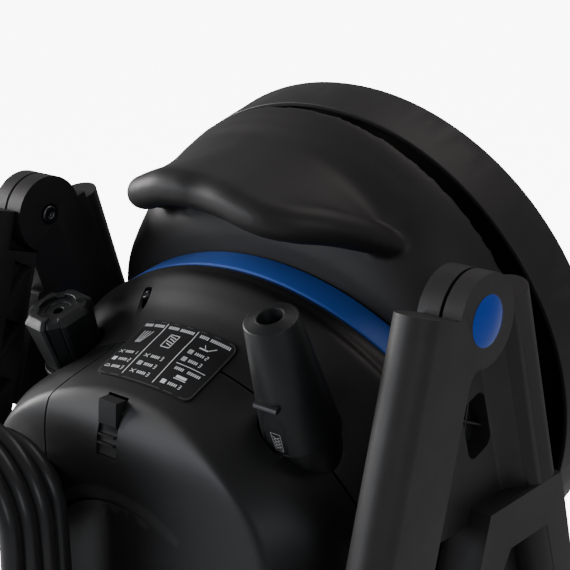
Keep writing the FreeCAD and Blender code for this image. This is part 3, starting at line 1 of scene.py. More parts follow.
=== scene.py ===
import json
import math
import bmesh
import bpy
import numpy as np
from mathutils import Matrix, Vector

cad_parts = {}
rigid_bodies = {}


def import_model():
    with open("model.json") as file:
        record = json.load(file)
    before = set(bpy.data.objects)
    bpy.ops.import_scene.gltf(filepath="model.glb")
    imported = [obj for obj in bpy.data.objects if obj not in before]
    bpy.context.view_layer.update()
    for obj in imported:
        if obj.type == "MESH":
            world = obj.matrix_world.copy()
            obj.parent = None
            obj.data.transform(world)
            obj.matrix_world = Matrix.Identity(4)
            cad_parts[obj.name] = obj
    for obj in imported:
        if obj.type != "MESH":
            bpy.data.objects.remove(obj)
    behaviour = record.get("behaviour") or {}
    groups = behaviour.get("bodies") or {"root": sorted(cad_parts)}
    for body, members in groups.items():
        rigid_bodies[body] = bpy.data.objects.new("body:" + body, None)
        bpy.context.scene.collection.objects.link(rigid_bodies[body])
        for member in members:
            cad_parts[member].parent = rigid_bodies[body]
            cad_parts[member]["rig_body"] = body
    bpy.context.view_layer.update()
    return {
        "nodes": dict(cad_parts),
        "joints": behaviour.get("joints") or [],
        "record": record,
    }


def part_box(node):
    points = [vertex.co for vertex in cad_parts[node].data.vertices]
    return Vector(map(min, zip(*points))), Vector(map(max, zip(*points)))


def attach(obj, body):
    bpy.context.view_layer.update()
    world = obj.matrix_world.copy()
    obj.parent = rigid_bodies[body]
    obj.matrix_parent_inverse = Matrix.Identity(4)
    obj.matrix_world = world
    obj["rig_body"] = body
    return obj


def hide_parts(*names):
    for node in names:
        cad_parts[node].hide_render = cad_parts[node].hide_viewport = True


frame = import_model()
nodes = frame["nodes"]
joints = {joint["name"]: joint for joint in frame["joints"]}
print("frame loaded:", len(nodes), "nodes")

# The handle's hinge axis is the zero of every measure below; millimetres until a mesh is made.
buttonLow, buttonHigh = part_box("hinge_button_right")
hingeY = (buttonLow.y + buttonHigh.y) / 2
hingeZ = (buttonLow.z + buttonHigh.z) / 2
reelAxis = Vector(joints["reel_turn"]["axis"]).normalized()
reelTilt = math.atan2(reelAxis.z, reelAxis.y)


def fromHinge(points):  # x, y, z from the hinge axis in millimetres -> metres in the frame
    return np.asarray(points, float) / 1000 + np.array([0, hingeY, hingeZ])


def fromReel(points):  # the same, for shapes drawn square to the tilted reel axis
    return fromHinge(turned(points, reelTilt))


def turned(points, angle):  # turn about the hinge axis: y' = y cos - z sin, z' = y sin + z cos
    p = np.asarray(points, float)
    y = p[..., 1] * math.cos(angle) - p[..., 2] * math.sin(angle)
    z = p[..., 1] * math.sin(angle) + p[..., 2] * math.cos(angle)
    return np.stack([p[..., 0], y, z], -1)


def addObject(name, data):
    obj = bpy.data.objects.new(name, data)
    bpy.context.collection.objects.link(obj)
    return obj


# camera and light

camera = dict(place=(572.1, -615.0, 242.5), towards=(-0.6185, 0.7276, -0.2968), lens=89.0)
studio = dict(floorSize=60.0, world=0.3, floorGlow=9.0, aim=(0, 0, 0.55))

cameraData = bpy.data.cameras.new("viewCamera")
cameraData.lens = camera["lens"]
cameraData.sensor_width = 36
cameraData.clip_end = 100
cameraObject = addObject("viewCamera", cameraData)
cameraObject.location = fromHinge(camera["place"])
cameraObject.rotation_euler = Vector(camera["towards"]).to_track_quat("-Z", "Y").to_euler()
bpy.context.scene.camera = cameraObject

world = bpy.data.worlds.new("studioWorld")
world.use_nodes = True
background = world.node_tree.nodes["Background"].inputs
background["Color"].default_value = (0.97, 0.98, 1.0, 1)
background["Strength"].default_value = studio["world"]
bpy.context.scene.world = world


def softLight(name, place, size, power, colour):
    lamp = bpy.data.lights.new(name, "AREA")
    lamp.shape = "RECTANGLE"
    lamp.size, lamp.size_y = size
    lamp.energy = power
    lamp.color = colour
    holder = addObject(name, lamp)
    holder.location = place
    holder.rotation_euler = (Vector(studio["aim"]) - Vector(place)).to_track_quat("-Z", "Y").to_euler()


softLight("keyLight", (-2.3, -0.6, 1.0), (1.3, 0.8), 62, (1.0, 0.98, 0.97))
softLight("frontLight", (-1.4, -2.2, 0.8), (1.2, 0.8), 22, (0.84, 0.90, 1.0))
softLight("topLight", (0.3, 0.9, 2.5), (1.4, 0.8), 9, (1.0, 0.93, 0.9))
softLight("sideLight", (2.3, -1.2, 1.5), (0.7, 1.0), 10, (0.86, 0.91, 1.0))
print("camera and light set")

# materials


def put(tree, value, socket):  # a socket is linked, any other value is set
    if isinstance(value, bpy.types.NodeSocket):
        tree.links.new(value, socket)
    else:
        socket.default_value = value


def addNode(tree, kind, **values):  # the values go to the inputs of the same names
    node = tree.nodes.new(kind)
    for label, value in values.items():
        put(tree, value, node.inputs[label.replace("_", " ")])
    return node


def nodeGroup(name, inputs, *outputs):
    group = bpy.data.node_groups.new(name, "ShaderNodeTree")
    for label, value in inputs.items():
        socket = group.interface.new_socket(name=label, in_out="INPUT", socket_type="NodeSocketFloat")
        socket.default_value = value
    for label in outputs:
        group.interface.new_socket(name=label, in_out="OUTPUT", socket_type="NodeSocketFloat")
    start, end = group.nodes.new("NodeGroupInput"), group.nodes.new("NodeGroupOutput")
    return group, start.outputs, end.inputs, group.nodes.new("ShaderNodeTexCoord").outputs["Object"]


def mathNode(tree, operation, a, b, clamp=False):
    node = tree.nodes.new("ShaderNodeMath")
    node.operation = operation
    node.use_clamp = clamp
    put(tree, a, node.inputs[0])
    put(tree, b, node.inputs[1])
    return node.outputs[0]


def noiseNode(tree, vector, scale, detail, rough):
    return addNode(tree, "ShaderNodeTexNoise", Vector=vector, Scale=scale, Detail=detail,
                   Roughness=rough).outputs["Fac"]


def buildMouldGrain():  # eroded texture of a plastic mould: fine cells over a slow swell
    group, start, end, place = nodeGroup("mouldGrain", {"Grain Scale": 900.0, "Swell Scale": 14.0},
                                         "Height", "Tone")
    cells = addNode(group, "ShaderNodeTexVoronoi", Vector=place, Scale=start["Grain Scale"])
    cells.feature = "SMOOTH_F1"
    fine = noiseNode(group, place, start["Grain Scale"], 4.0, 0.6)
    swell = noiseNode(group, place, start["Swell Scale"], 3.0, 0.5)
    for name, a, shareA, shareB in (("Height", cells.outputs["Distance"], 0.6, 0.6),
                                    ("Tone", swell, 0.6, 0.4)):
        put(group, mathNode(group, "ADD", mathNode(group, "MULTIPLY", a, shareA),
                            mathNode(group, "MULTIPLY", fine, shareB)), end[name])
    return group


def buildEdgeRub():  # brighter, smoother corners where hands and cloth have rubbed
    group, start, end, place = nodeGroup("edgeRub", {"Amount": 0.5, "Patch Scale": 40.0}, "Mask")
    pointiness = group.nodes.new("ShaderNodeNewGeometry").outputs["Pointiness"]
    ramp = addNode(group, "ShaderNodeMapRange", Value=pointiness, From_Min=0.515, From_Max=0.58)
    patch = noiseNode(group, place, start["Patch Scale"], 5.0, 0.6)
    mask = mathNode(group, "MULTIPLY", ramp.outputs["Result"], patch)
    put(group, mathNode(group, "MULTIPLY", mask, start["Amount"], True), end["Mask"])
    return group


def buildDustVeil():  # thin dust on faces that look up
    group, start, end, place = nodeGroup("dustVeil", {"Amount": 0.1, "Fleck Scale": 60.0}, "Mask")
    normal = group.nodes.new("ShaderNodeNewGeometry").outputs["Normal"]
    split = addNode(group, "ShaderNodeSeparateXYZ", Vector=normal)
    up = mathNode(group, "POWER", mathNode(group, "MAXIMUM", split.outputs["Z"], 0.0), 3.0)
    veil = mathNode(group, "MULTIPLY", up, noiseNode(group, place, start["Fleck Scale"], 6.0, 0.7))
    put(group, mathNode(group, "MULTIPLY", veil, start["Amount"], True), end["Mask"])
    return group


mouldGrain, edgeRub, dustVeil = buildMouldGrain(), buildEdgeRub(), buildDustVeil()


def useGroup(tree, group, **values):
    node = tree.nodes.new("ShaderNodeGroup")
    node.node_tree = group
    for label, value in values.items():
        node.inputs[label.replace("_", " ")].default_value = value
    return node.outputs


def mixColour(tree, mask, a, b):
    node = tree.nodes.new("ShaderNodeMix")
    node.data_type = "RGBA"
    for index, value in ((0, mask), (6, a), (7, b)):  # its inputs for colours are the seventh and eighth
        put(tree, value + (1,) if isinstance(value, tuple) else value, node.inputs[index])
    return node.outputs[2]


# colour and light are the two ends of the tone; rough holds the least and the greatest roughness
def finish(name, colour, light, rough, grain=900.0, *, bump, depth=0.00012, rub=0.35,
           rubColour=(0.07, 0.068, 0.066), dust=0.012, metal=0.0, shine=0.35):
    material = bpy.data.materials.new(name)
    material.use_nodes = True
    tree = material.node_tree
    grained = useGroup(tree, mouldGrain, Grain_Scale=grain)
    rubbed = useGroup(tree, edgeRub, Amount=rub)["Mask"]
    dusted = useGroup(tree, dustVeil, Amount=dust)["Mask"]
    base = mixColour(tree, grained["Tone"], colour, light)
    worn = mixColour(tree, rubbed, base, rubColour)
    spread = mathNode(tree, "MULTIPLY", grained["Tone"], rough[1] - rough[0])
    dull = mathNode(tree, "ADD", spread, rough[0])
    polished = mathNode(tree, "SUBTRACT", dull, mathNode(tree, "MULTIPLY", rubbed, 0.15), True)
    relief = addNode(tree, "ShaderNodeBump", Strength=bump, Distance=depth, Height=grained["Height"])
    shader = tree.nodes["Principled BSDF"].inputs
    for label, value in (("Base Color", mixColour(tree, dusted, worn, (0.34, 0.33, 0.31))),
                         ("Roughness", mathNode(tree, "ADD", polished, dusted, True)),
                         ("Normal", relief.outputs["Normal"]), ("Metallic", metal),
                         ("Specular IOR Level", shine)):
        put(tree, value, shader[label])
    return material


finishes = {
    "charcoal_plastic": finish(
        "charcoalPlastic", (0.011, 0.0095, 0.009), (0.019, 0.0165, 0.0158), (0.42, 0.60), bump=0.55),
    "black_plastic": finish(
        "blackPlastic", (0.005, 0.005, 0.0052), (0.009, 0.009, 0.0093), (0.36, 0.52), bump=0.4),
    "blue_plastic": finish(
        "bluePlastic", (0.005, 0.052, 0.40), (0.007, 0.062, 0.44), (0.08, 0.13), 300.0, bump=0.04, rub=0.1,
        rubColour=(0.03, 0.12, 0.5), shine=0.22),
    "blue_trim": finish(
        "blueTrim", (0.03, 0.105, 0.47), (0.038, 0.125, 0.52), (0.46, 0.58), bump=0.25, rub=0.15,
        rubColour=(0.03, 0.12, 0.5), dust=0.02),
    "label_print": finish(
        "labelPlate", (0.007, 0.007, 0.008), (0.012, 0.012, 0.013), (0.44, 0.54), 600.0, bump=0.12,
        rub=0.3, shine=0.22),
    "tyre_rubber": finish(
        "tyreRubber", (0.012, 0.012, 0.012), (0.025, 0.024, 0.023), (0.62, 0.85), 500.0, bump=0.6,
        depth=0.0003, dust=0.25),
    "grip_rubber": finish(
        "gripRubber", (0.016, 0.016, 0.016), (0.03, 0.03, 0.03), (0.6, 0.8), 700.0, bump=0.5),
    "cable_rubber": finish(
        "cableRubber", (0.008, 0.008, 0.009), (0.018, 0.018, 0.019), (0.24, 0.42), 400.0, bump=0.15,
        dust=0.03),
    "steel": finish(
        "zincSteel", (0.42, 0.42, 0.43), (0.58, 0.58, 0.59), (0.22, 0.4), 400.0, bump=0.2, metal=1.0,
        rubColour=(0.7, 0.7, 0.7)),
    "dark_steel": finish(
        "blackSteel", (0.06, 0.06, 0.065), (0.12, 0.12, 0.125), (0.3, 0.45), 400.0, bump=0.2, metal=1.0,
        rubColour=(0.4, 0.4, 0.4)),
    "cast_aluminium": finish(
        "castAluminium", (0.42, 0.42, 0.43), (0.6, 0.6, 0.61), (0.4, 0.6), 350.0, bump=0.7, depth=0.0004,
        metal=1.0, rubColour=(0.8, 0.8, 0.8)),
    "brass": finish(
        "turnedBrass", (0.55, 0.38, 0.14), (0.7, 0.52, 0.22), (0.2, 0.34), 300.0, bump=0.15, metal=1.0,
        rubColour=(0.85, 0.7, 0.4)),
    "iron": finish(
        "statorIron", (0.12, 0.12, 0.125), (0.22, 0.22, 0.23), (0.45, 0.6), 500.0, bump=0.5, metal=0.8,
        rubColour=(0.4, 0.4, 0.4)),
    "pin_metal": finish(
        "nickelPin", (0.6, 0.57, 0.5), (0.74, 0.71, 0.63), (0.16, 0.26), 300.0, bump=0.1, metal=1.0,
        rubColour=(0.8, 0.8, 0.78)),
}


def printInk(name, low, high):
    return finish(name, (low,) * 3, (high,) * 3, (0.4, 0.5), 800.0, bump=0.1, rub=0.0, dust=0.0)


whitePrint = printInk("whitePrint", 0.82, 0.9)
greyPrint = printInk("greyPrint", 0.10, 0.15)
greyMark = printInk("greyMark", 0.28, 0.38)
darkPlastic = finish("darkPlastic", (0.0045, 0.005, 0.0055), (0.008, 0.0085, 0.009), (0.36, 0.5), bump=0.35,
                     rub=0.5, rubColour=(0.06, 0.06, 0.06))
slotOf = {part["node"]: part["material_slot"] for part in frame["record"]["subparts"]}
print("materials built:", len(finishes))

# tools for surfaces


def meshOf(name, points, faces):
    mesh = bpy.data.meshes.new(name)
    mesh.from_pydata(np.asarray(points).reshape(-1, 3).tolist(), [], faces)
    return addObject(name, mesh)


def gridFaces(nu, nv, closeU=False, closeV=False, start=0):
    u = np.arange(nu if closeU else nu - 1)
    v = np.arange(nv if closeV else nv - 1)
    u1, v1 = (u + 1) % nu, (v + 1) % nv
    a, b = u[:, None] * nv + v[None, :], u1[:, None] * nv + v[None, :]
    c, d = u1[:, None] * nv + v1[None, :], u[:, None] * nv + v1[None, :]
    return (np.stack([a, b, c, d], -1).reshape(-1, 4) + start).tolist()


def tubeFaces(nu, nv, start=0):  # nu closed sections of nv points, with a face over each end
    ends = [list(range(start, start + nv)), list(range(start + (nu - 1) * nv, start + nu * nv))[::-1]]
    return gridFaces(nu, nv, False, True, start) + ends


def clean(obj, distance=1e-5, outward=True):
    work = bmesh.new()
    work.from_mesh(obj.data)
    bmesh.ops.remove_doubles(work, verts=work.verts, dist=distance)
    bmesh.ops.dissolve_degenerate(work, edges=work.edges, dist=1e-6)
    if outward:
        bmesh.ops.recalc_face_normals(work, faces=work.faces)
    work.to_mesh(obj.data)
    work.free()


def roundEdges(obj, width, segments, angle):
    bevel = obj.modifiers.new("softEdge", "BEVEL")
    bevel.width = width / 1000
    bevel.segments = segments
    bevel.limit_method = "ANGLE"
    bevel.angle_limit = math.radians(angle)
    bevel.harden_normals = False


def applyModifiers(obj):
    depsgraph = bpy.context.evaluated_depsgraph_get()
    fresh = bpy.data.meshes.new_from_object(obj.evaluated_get(depsgraph))
    obj.modifiers.clear()
    obj.data = fresh


def give(obj, body, slotName, replaced=(), material=None, angle=35, shade=True):
    mesh = obj.data
    mesh.materials.clear()
    mesh.materials.append(material or finishes[slotName])
    if shade:
        mesh.polygons.foreach_set("use_smooth", np.ones(len(mesh.polygons), bool))
        mesh.set_sharp_from_angle(angle=math.radians(angle))
    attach(obj, body)
    if replaced:
        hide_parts(*replaced)


def averaged(points, passes, axis=0):  # rounds a line: p = (before + 2 p + after) / 4, ends kept
    p = np.moveaxis(np.array(points, float), axis, 0)
    for _ in range(passes):
        p[1:-1] = (p[:-2] + 2 * p[1:-1] + p[2:]) / 4
    return np.moveaxis(p, 0, axis)


def evenly(points, count):  # the same line with count points at equal distances
    p = np.asarray(points, float)
    steps = np.linalg.norm(np.diff(p, axis=0), axis=1)
    along = np.concatenate([[0], np.cumsum(steps)])
    want = np.linspace(0, along[-1], count)
    return np.stack([np.interp(want, along, p[:, i]) for i in range(3)], -1)


def curved(knots, values, want):  # smooth curve through values at knots (cubic, Catmull-Rom slopes)
    k, v, w = np.asarray(knots, float), np.asarray(values, float), np.asarray(want, float)
    slope = np.gradient(v, k, axis=0)
    i = np.clip(np.searchsorted(k, w) - 1, 0, len(k) - 2)
    h = k[i + 1] - k[i]
    t = (w - k[i]) / h
    shape = (-1,) + (1,) * (v.ndim - 1)
    t, h = t.reshape(shape), h.reshape(shape)
    return ((2 * t**3 - 3 * t**2 + 1) * v[i] + (t**3 - 2 * t**2 + t) * h * slope[i]
            + (3 * t**2 - 2 * t**3) * v[i + 1] + (t**3 - t**2) * h * slope[i + 1])


# profile: along the axis, radius; point = origin + along * axis + radius * (cos a, sin a) across it
def lathe(name, profile, origin, axis, place, steps, closed=True):
    profile = np.asarray(profile, float)
    w = np.asarray(axis, float) / np.linalg.norm(axis)
    side = np.cross(w, (0, 0, 1.0)) if abs(w[2]) < 0.9 else np.cross(w, (0, 1.0, 0))
    side /= np.linalg.norm(side)
    up = np.cross(w, side)
    a = np.linspace(0, 2 * np.pi, steps, endpoint=False)
    ring = np.cos(a)[:, None] * side + np.sin(a)[:, None] * up
    points = np.asarray(origin) + profile[None, :, :1] * w + profile[None, :, 1:] * ring[:, None, :]
    obj = meshOf(name, place(points), gridFaces(steps, len(profile), True, closed))
    clean(obj)
    return obj


def filleted(outline, radius, count):  # a closed flat outline with each corner turned into an arc
    p = np.asarray(outline, float)
    radius = np.broadcast_to(radius, len(p))
    result = []
    for before, corner, after, r in zip(np.roll(p, 1, 0), p, np.roll(p, -1, 0), radius):
        a, b = before - corner, after - corner
        la, lb = np.linalg.norm(a), np.linalg.norm(b)
        a, b = a / la, b / lb
        half = math.acos(np.clip(a @ b, -1, 1)) / 2
        reach = min(r / math.tan(half), 0.45 * la, 0.45 * lb)
        r = reach * math.tan(half)
        centre = corner + (a + b) / np.linalg.norm(a + b) * r / math.sin(half)
        first, last = corner + a * reach - centre, corner + b * reach - centre
        t0, t1 = math.atan2(first[1], first[0]), math.atan2(last[1], last[0])
        sweep = (t1 - t0 + math.pi) % (2 * math.pi) - math.pi
        turn = t0 + np.linspace(0, 1, count) * sweep
        result.append(centre + r * np.stack([np.cos(turn), np.sin(turn)], -1))
    return np.concatenate(result)


# a prism: lift(flat points, heights) gives x, y, z; low and high are its two faces
def slab(name, outline, low, high, lift, place=fromHinge):
    outline = np.asarray(outline, float)
    n = len(outline)
    points = np.concatenate([lift(outline, np.full(n, low)), lift(outline, np.full(n, high))])
    ring = np.arange(n)
    sides = np.stack([ring, (ring + 1) % n, (ring + 1) % n + n, ring + n], -1).tolist()
    obj = meshOf(name, place(points), sides + [ring[::-1].tolist(), (ring + n).tolist()])
    clean(obj)
    return obj


def sideways(flat, x):  # a y, z outline carried along X
    return np.stack([x, flat[:, 0], flat[:, 1]], -1)


def cutWith(obj, *cutters):
    for cutter in cutters:
        step = obj.modifiers.new("cut", "BOOLEAN")
        step.object = cutter
        step.operation = "DIFFERENCE"
        step.solver = "EXACT"
    applyModifiers(obj)


def drop(*objects):
    for obj in objects:
        bpy.data.objects.remove(obj)


def addWall(obj, thick, outwardness):  # faces are turned outward, then the wall grows inward from them
    work = bmesh.new()
    work.from_mesh(obj.data)
    if sum(outwardness(face) * face.calc_area() for face in work.faces) < 0:
        bmesh.ops.reverse_faces(work, faces=work.faces)
    work.to_mesh(obj.data)
    work.free()
    wall = obj.modifiers.new("wall", "SOLIDIFY")
    wall.thickness = thick / 1000
    wall.offset = -1


def sideName(side):
    return "Right" if side > 0 else "Left"


# supply cable: one run from the gland, round the two hooks and down to the plug

cable = dict(radius=6.5, hankX=-67.0, topZ=-140.0, lowZ=-268.0, inner=33.0, nearY=-120.0, innerTurns=4,
             outerTurns=3, pitch=15.2, outerStep=15.5, glandTop=-350.0, plugTop=-320.0)


# turns of a racetrack: two half circles of seven points each, 30 degrees apart, and straight runs between
def hankTurns(radius, y0, y1, turns):
    r = radius / math.cos(math.radians(15))  # so that the smooth curve inside the points has the radius
    track = []
    for low, height in ((0, cable["topZ"]), (180, cable["lowZ"])):
        for angle in np.radians(np.arange(low, low + 181, 30)):
            track.append((cable["hankX"] + r * math.cos(angle), height + r * math.sin(angle)))
    count = len(track)
    line = []
    for step in range(int(turns * count)):
        x, z = track[step % count]
        line.append((x, y0 + (y1 - y0) * (step / count / turns), z))
    return line


def cableRoute():
    c = cable
    inner, outer = c["inner"] + c["radius"], c["inner"] + 3 * c["radius"]
    right, left = c["hankX"] + inner, c["hankX"] - outer
    route = [(right, c["nearY"], c["glandTop"]), (right, c["nearY"], c["glandTop"] + 26),
             (right, c["nearY"] - 0.3, c["glandTop"] + 52)]
    farY = c["nearY"] - c["pitch"] * (c["innerTurns"] - 1)
    route += hankTurns(inner, c["nearY"], farY, c["innerTurns"])
    route += hankTurns(outer, farY, c["nearY"] - c["outerStep"], c["outerTurns"] - 0.5)
    route += [(left, c["nearY"] - 9, c["lowZ"] + 4), (left, c["nearY"] - 3, c["plugTop"] + 34),
              (left, c["nearY"], c["plugTop"] + 18), (left, c["nearY"], c["plugTop"])]
    return route


route = cableRoute()
cableCurve = bpy.data.curves.new("supplyCable", "CURVE")
cableCurve.dimensions = "3D"
spline = cableCurve.splines.new("NURBS")
spline.points.add(len(route) - 1)
spline.points.foreach_set("co", np.hstack([fromHinge(route), np.ones((len(route), 1))]).ravel())
spline.order_u = 3
spline.use_endpoint_u = True
spline.resolution_u = 6
cableCurve.bevel_depth = cable["radius"] / 1000
cableCurve.bevel_resolution = 5
cableCurve.use_fill_caps = True
supplyCable = addObject("supplyCable", cableCurve)
cableCurve.materials.append(finishes["cable_rubber"])
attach(supplyCable, "chassis")
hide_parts("cable_lead", "cable_hank", "cable_tail")
print("cable laid:", len(route), "points")

# shroud with its carrying visor

shroud = dict(front=32.2, back=89.9, backRadius=163.5, backCentre=-95.5, ringRadius=202.5, ringCentre=-215.7,
              belowRing=1.5, half=163.0, pinch=26.0, power=1.55, floorZ=-214.0, voxel=1.9, smoothing=8)
visor = dict(bead=9.0, swell=3.1, endShare=0.09, setBack=0.47, rise=0.88, flare=1.02, backY=88.0, sink=1.0,
             proud=0.4, sag=2.2, tuck=20.0, pinch=0.94, rootY=66.0, rootSink=12.0, insideY=82.0,
             insideSink=22.0)
visorLip = np.array([  # x, y, z along the lip's lower edge, left to right, in the reel's frame
    (-98, 54, -6), (-93, 42, 0), (-88, 28, 8), (-82, 16, 13.5), (-75, 6, 17.5), (-67, -3, 22),
    (-57, -10, 26.5), (-45, -13, 31), (-32, -14, 35), (-15, -13, 36), (0, -11, 34.5), (20, -13, 33),
    (35, -14, 30), (48, -13, 27.3), (58, -9, 25), (67, -3, 22.5), (75, 6, 19.5), (82, 16, 15),
    (88, 28, 8.5), (93, 42, 1), (98, 54, -6)], float)
visorCrest = np.array([  # x, y, z of the crease where the visor's top meets the dome
    (-112, 68, 8), (-108, 71, 17), (-102, 72, 26.5), (-93, 71.4, 33.8), (-76, 67.5, 41.4),
    (-54, 64.4, 48.4), (-34, 62.2, 52.2), (-21.8, 61.4, 53.6), (1.9, 60, 53.8), (24.3, 59, 51.4),
    (45.6, 57, 44.9), (61.7, 55, 37), (75.3, 53, 28.2), (85.9, 51, 19), (92, 49.5, 10), (98, 50, 0)], float)


# z = front circle + rise * (back circle - front circle), where rise^p = 1 - (1 - share)^p
def shroudHeight(x, y):
    s = shroud
    share = np.clip((y - s["front"]) / (s["back"] - s["front"]), 0, 1)
    rise = (1 - (1 - share) ** s["power"]) ** (1 / s["power"])
    front = s["ringCentre"] + np.sqrt(s["ringRadius"] ** 2 - x**2) - s["belowRing"]
    back = s["backCentre"] + np.sqrt(np.maximum(s["backRadius"] ** 2 - x**2, 0))
    return front + rise * (back - front)


def shroudBlock():  # arches from front to back, closed by both ends and the floor
    s = shroud
    rows = []
    for y in np.linspace(s["front"], s["back"], 26):
        share = (y - s["front"]) / (s["back"] - s["front"])
        half = s["half"] - s["pinch"] * (1 - share) ** 1.6
        x = half * np.sin(np.linspace(-np.pi / 2, np.pi / 2, 81))
        arch = np.stack([x, np.full_like(x, y), shroudHeight(x, y)], -1)
        foot = (s["floorZ"] - y * math.sin(reelTilt)) / math.cos(reelTilt)
        side = np.linspace(foot, arch[0, 2], 16)[:-1]
        left = np.stack([np.full_like(side, -half), np.full_like(side, y), side], -1)
        right = left[::-1] * (-1, 1, 1)
        rows.append(averaged(evenly(np.concatenate([left, arch, right]), 121), 4))
    return np.array(rows)


# each section runs from the dome forward over the top, round the lip's bead and back underneath
def visorSections(count=96, around=120):
    v = visor
    want = np.linspace(0, 1, count)
    lip = curved(np.linspace(0, 1, len(visorLip)), visorLip, want)
    crest = curved(np.linspace(0, 1, len(visorCrest)), visorCrest, want)
    path = np.gradient(lip[:, :2], axis=0)
    path /= np.linalg.norm(path, axis=1)[:, None]
    out = np.stack([path[:, 1], -path[:, 0]], -1)
    ends = np.clip(np.minimum(want, 1 - want) / v["endShare"], 0, 1)
    radius = v["bead"] + v["swell"] * ends * ends * (3 - 2 * ends)
    centre = lip.copy()
    centre[:, :2] -= out * (v["setBack"] * radius)[:, None]
    centre[:, 2] += v["rise"] * radius

    def beside(outward, upward):  # a line that keeps these distances from the bead's centre
        return centre + np.concatenate([out * outward[:, None], upward[:, None]], 1)

    backX, rootX = crest[:, 0] * v["flare"], lip[:, 0] * v["pinch"]
    backY, rootY, insideY = (np.full(count, v[key]) for key in ("backY", "rootY", "insideY"))
    back = np.stack([backX, backY, shroudHeight(backX, backY) - v["sink"]], -1)
    halfway = (crest + back) / 2
    halfway[:, 2] = shroudHeight(halfway[:, 0], halfway[:, 1]) + v["proud"]
    loops = [back, halfway, crest]
    beadTop = beside(-0.17 * radius, 0.98 * radius)
    for share in (0.35, 0.7):
        mid = crest * (1 - share) + beadTop * share
        mid[:, 2] -= v["sag"] * ends * math.sin(share * math.pi)
        loops.append(mid)
    for angle in np.radians(np.arange(100, -126, -25)):
        loops.append(beside(math.cos(angle) * radius, math.sin(angle) * radius))
    root = np.stack([rootX, rootY, shroudHeight(rootX, rootY) - v["rootSink"]], -1)
    inside = np.stack([backX * v["pinch"], insideY, back[:, 2] - v["insideSink"]], -1)
    loops += [beside(-v["tuck"] * ends, -0.55 * radius), root, inside]
    sections = np.stack(loops, 1)
    knots = np.arange(len(loops) + 1)
    closed = np.concatenate([sections, sections[:, :1]], 1)
    return np.stack([curved(knots, section, np.linspace(0, len(loops), around, endpoint=False))
                     for section in closed])


def shroudPiece():
    block, hood = shroudBlock(), visorSections()
    points = np.concatenate([block.reshape(-1, 3), hood.reshape(-1, 3)])
    faces = tubeFaces(*block.shape[:2]) + tubeFaces(*hood.shape[:2], block.shape[0] * block.shape[1])
    obj = meshOf("shroudWithVisor", fromReel(points), faces)
    clean(obj)
    remesh = obj.modifiers.new("oneSkin", "REMESH")
    remesh.mode = "VOXEL"
    remesh.voxel_size = shroud["voxel"] / 1000
    ease = obj.modifiers.new("softCreases", "SMOOTH")
    ease.iterations = shroud["smoothing"]
    ease.factor = 0.5
    applyModifiers(obj)
    give(obj, "chassis", "charcoal_plastic", ["shroud"], angle=180)


shroudPiece()
print("shroud done")

# blue trim ring

ring = dict(near=11.5, far=31.9, radius=202.5, centre=-215.7, depth=4.5, half=163.0)


def trimRing():
    limit = math.asin(ring["half"] / ring["radius"])
    a = np.linspace(-limit, limit, 160)
    flat = filleted([(ring["near"], -ring["depth"]), (ring["far"], -ring["depth"]), (ring["far"], 0),
                     (ring["near"], 0)], [0.4, 0.4, 1.4, 1.4], 5)
    r = np.broadcast_to(ring["radius"] + flat[:, 1], (len(a), len(flat)))
    points = np.stack([r * np.sin(a)[:, None], np.broadcast_to(flat[:, 0], r.shape),
                       ring["centre"] + r * np.cos(a)[:, None]], -1)
    obj = meshOf("blueTrimRing", fromReel(points), tubeFaces(*points.shape[:2]))
    clean(obj)
    give(obj, "chassis", "blue_trim", ["trim_ring"])


trimRing()
print("trim ring done")

# collar, front cover and cheek: arches square to the reel axis that end in a rounded front face

stations = np.array([  # y, crown height, springing height, roundness
    (12.0, -14.5, -209.0, 2.0), (3.0, -12.6, -206.0, 2.0), (-7.0, -11.5, -200.0, 2.0),
    (-17.0, -18.0, -198.0, 2.0), (-28.0, -27.5, -197.0, 2.0), (-40.0, -33.8, -196.0, 2.0),
    (-56.0, -38.2, -193.0, 2.02), (-90.0, -48.5, -150.0, 2.27), (-120.0, -57.5, -140.0, 2.3),
    (-175.0, -74.0, -138.0, 2.3)])[::-1]
upper = dict(half=163.0, archHalf=194.7, archSpread=0.62, floorZ=-214.5, seamY=-56.0, seamGap=0.75, wall=3.2,
             collarWall=1.6, rearY=11.2, skinEnd=-172.0, dipDepth=1.5, dipBack=10.5, dipSpread=3.4,
             cheekSteps=60, coverSteps=130, middle=(0, -20.0, -160.0),
             faceEdge=(-75.5, -58.0), faceMid=(-94.2, -84.0), faceLow=(-97.4, -102.8))
seamLine = np.array([(-50.0, -60.0), (-58.0, -72.0), (-63.0, -81.0), (-63.0, -230.0)])  # x, z at the cheek


def archHalf(y):  # half the width that the arch would have without its flat sides
    return upper["archHalf"] + upper["archSpread"] * y


# x = -w cos^(2/p) a, z = spring + sin^(2/p) a (crown - spring), cut off at the flat sides
def bodyArch(y, samples=161, count=201):
    crown, spring, power = curved(stations[:, 0], stations[:, 1:], [y])[0]
    a = np.linspace(0, np.pi, samples)
    c, s = np.cos(a), np.sin(a)
    x = -np.sign(c) * np.abs(c) ** (2 / power) * archHalf(y)
    z = spring + np.abs(s) ** (2 / power) * (crown - spring)
    arch = np.stack([np.clip(x, -upper["half"], upper["half"]), np.full_like(x, y), z], -1)
    foot = (upper["floorZ"] - y * math.sin(reelTilt)) / math.cos(reelTilt)
    left, right = arch[:1].copy(), arch[-1:].copy()
    left[0, 2] = right[0, 2] = foot
    return averaged(evenly(np.concatenate([left, arch, right]), count), 5)


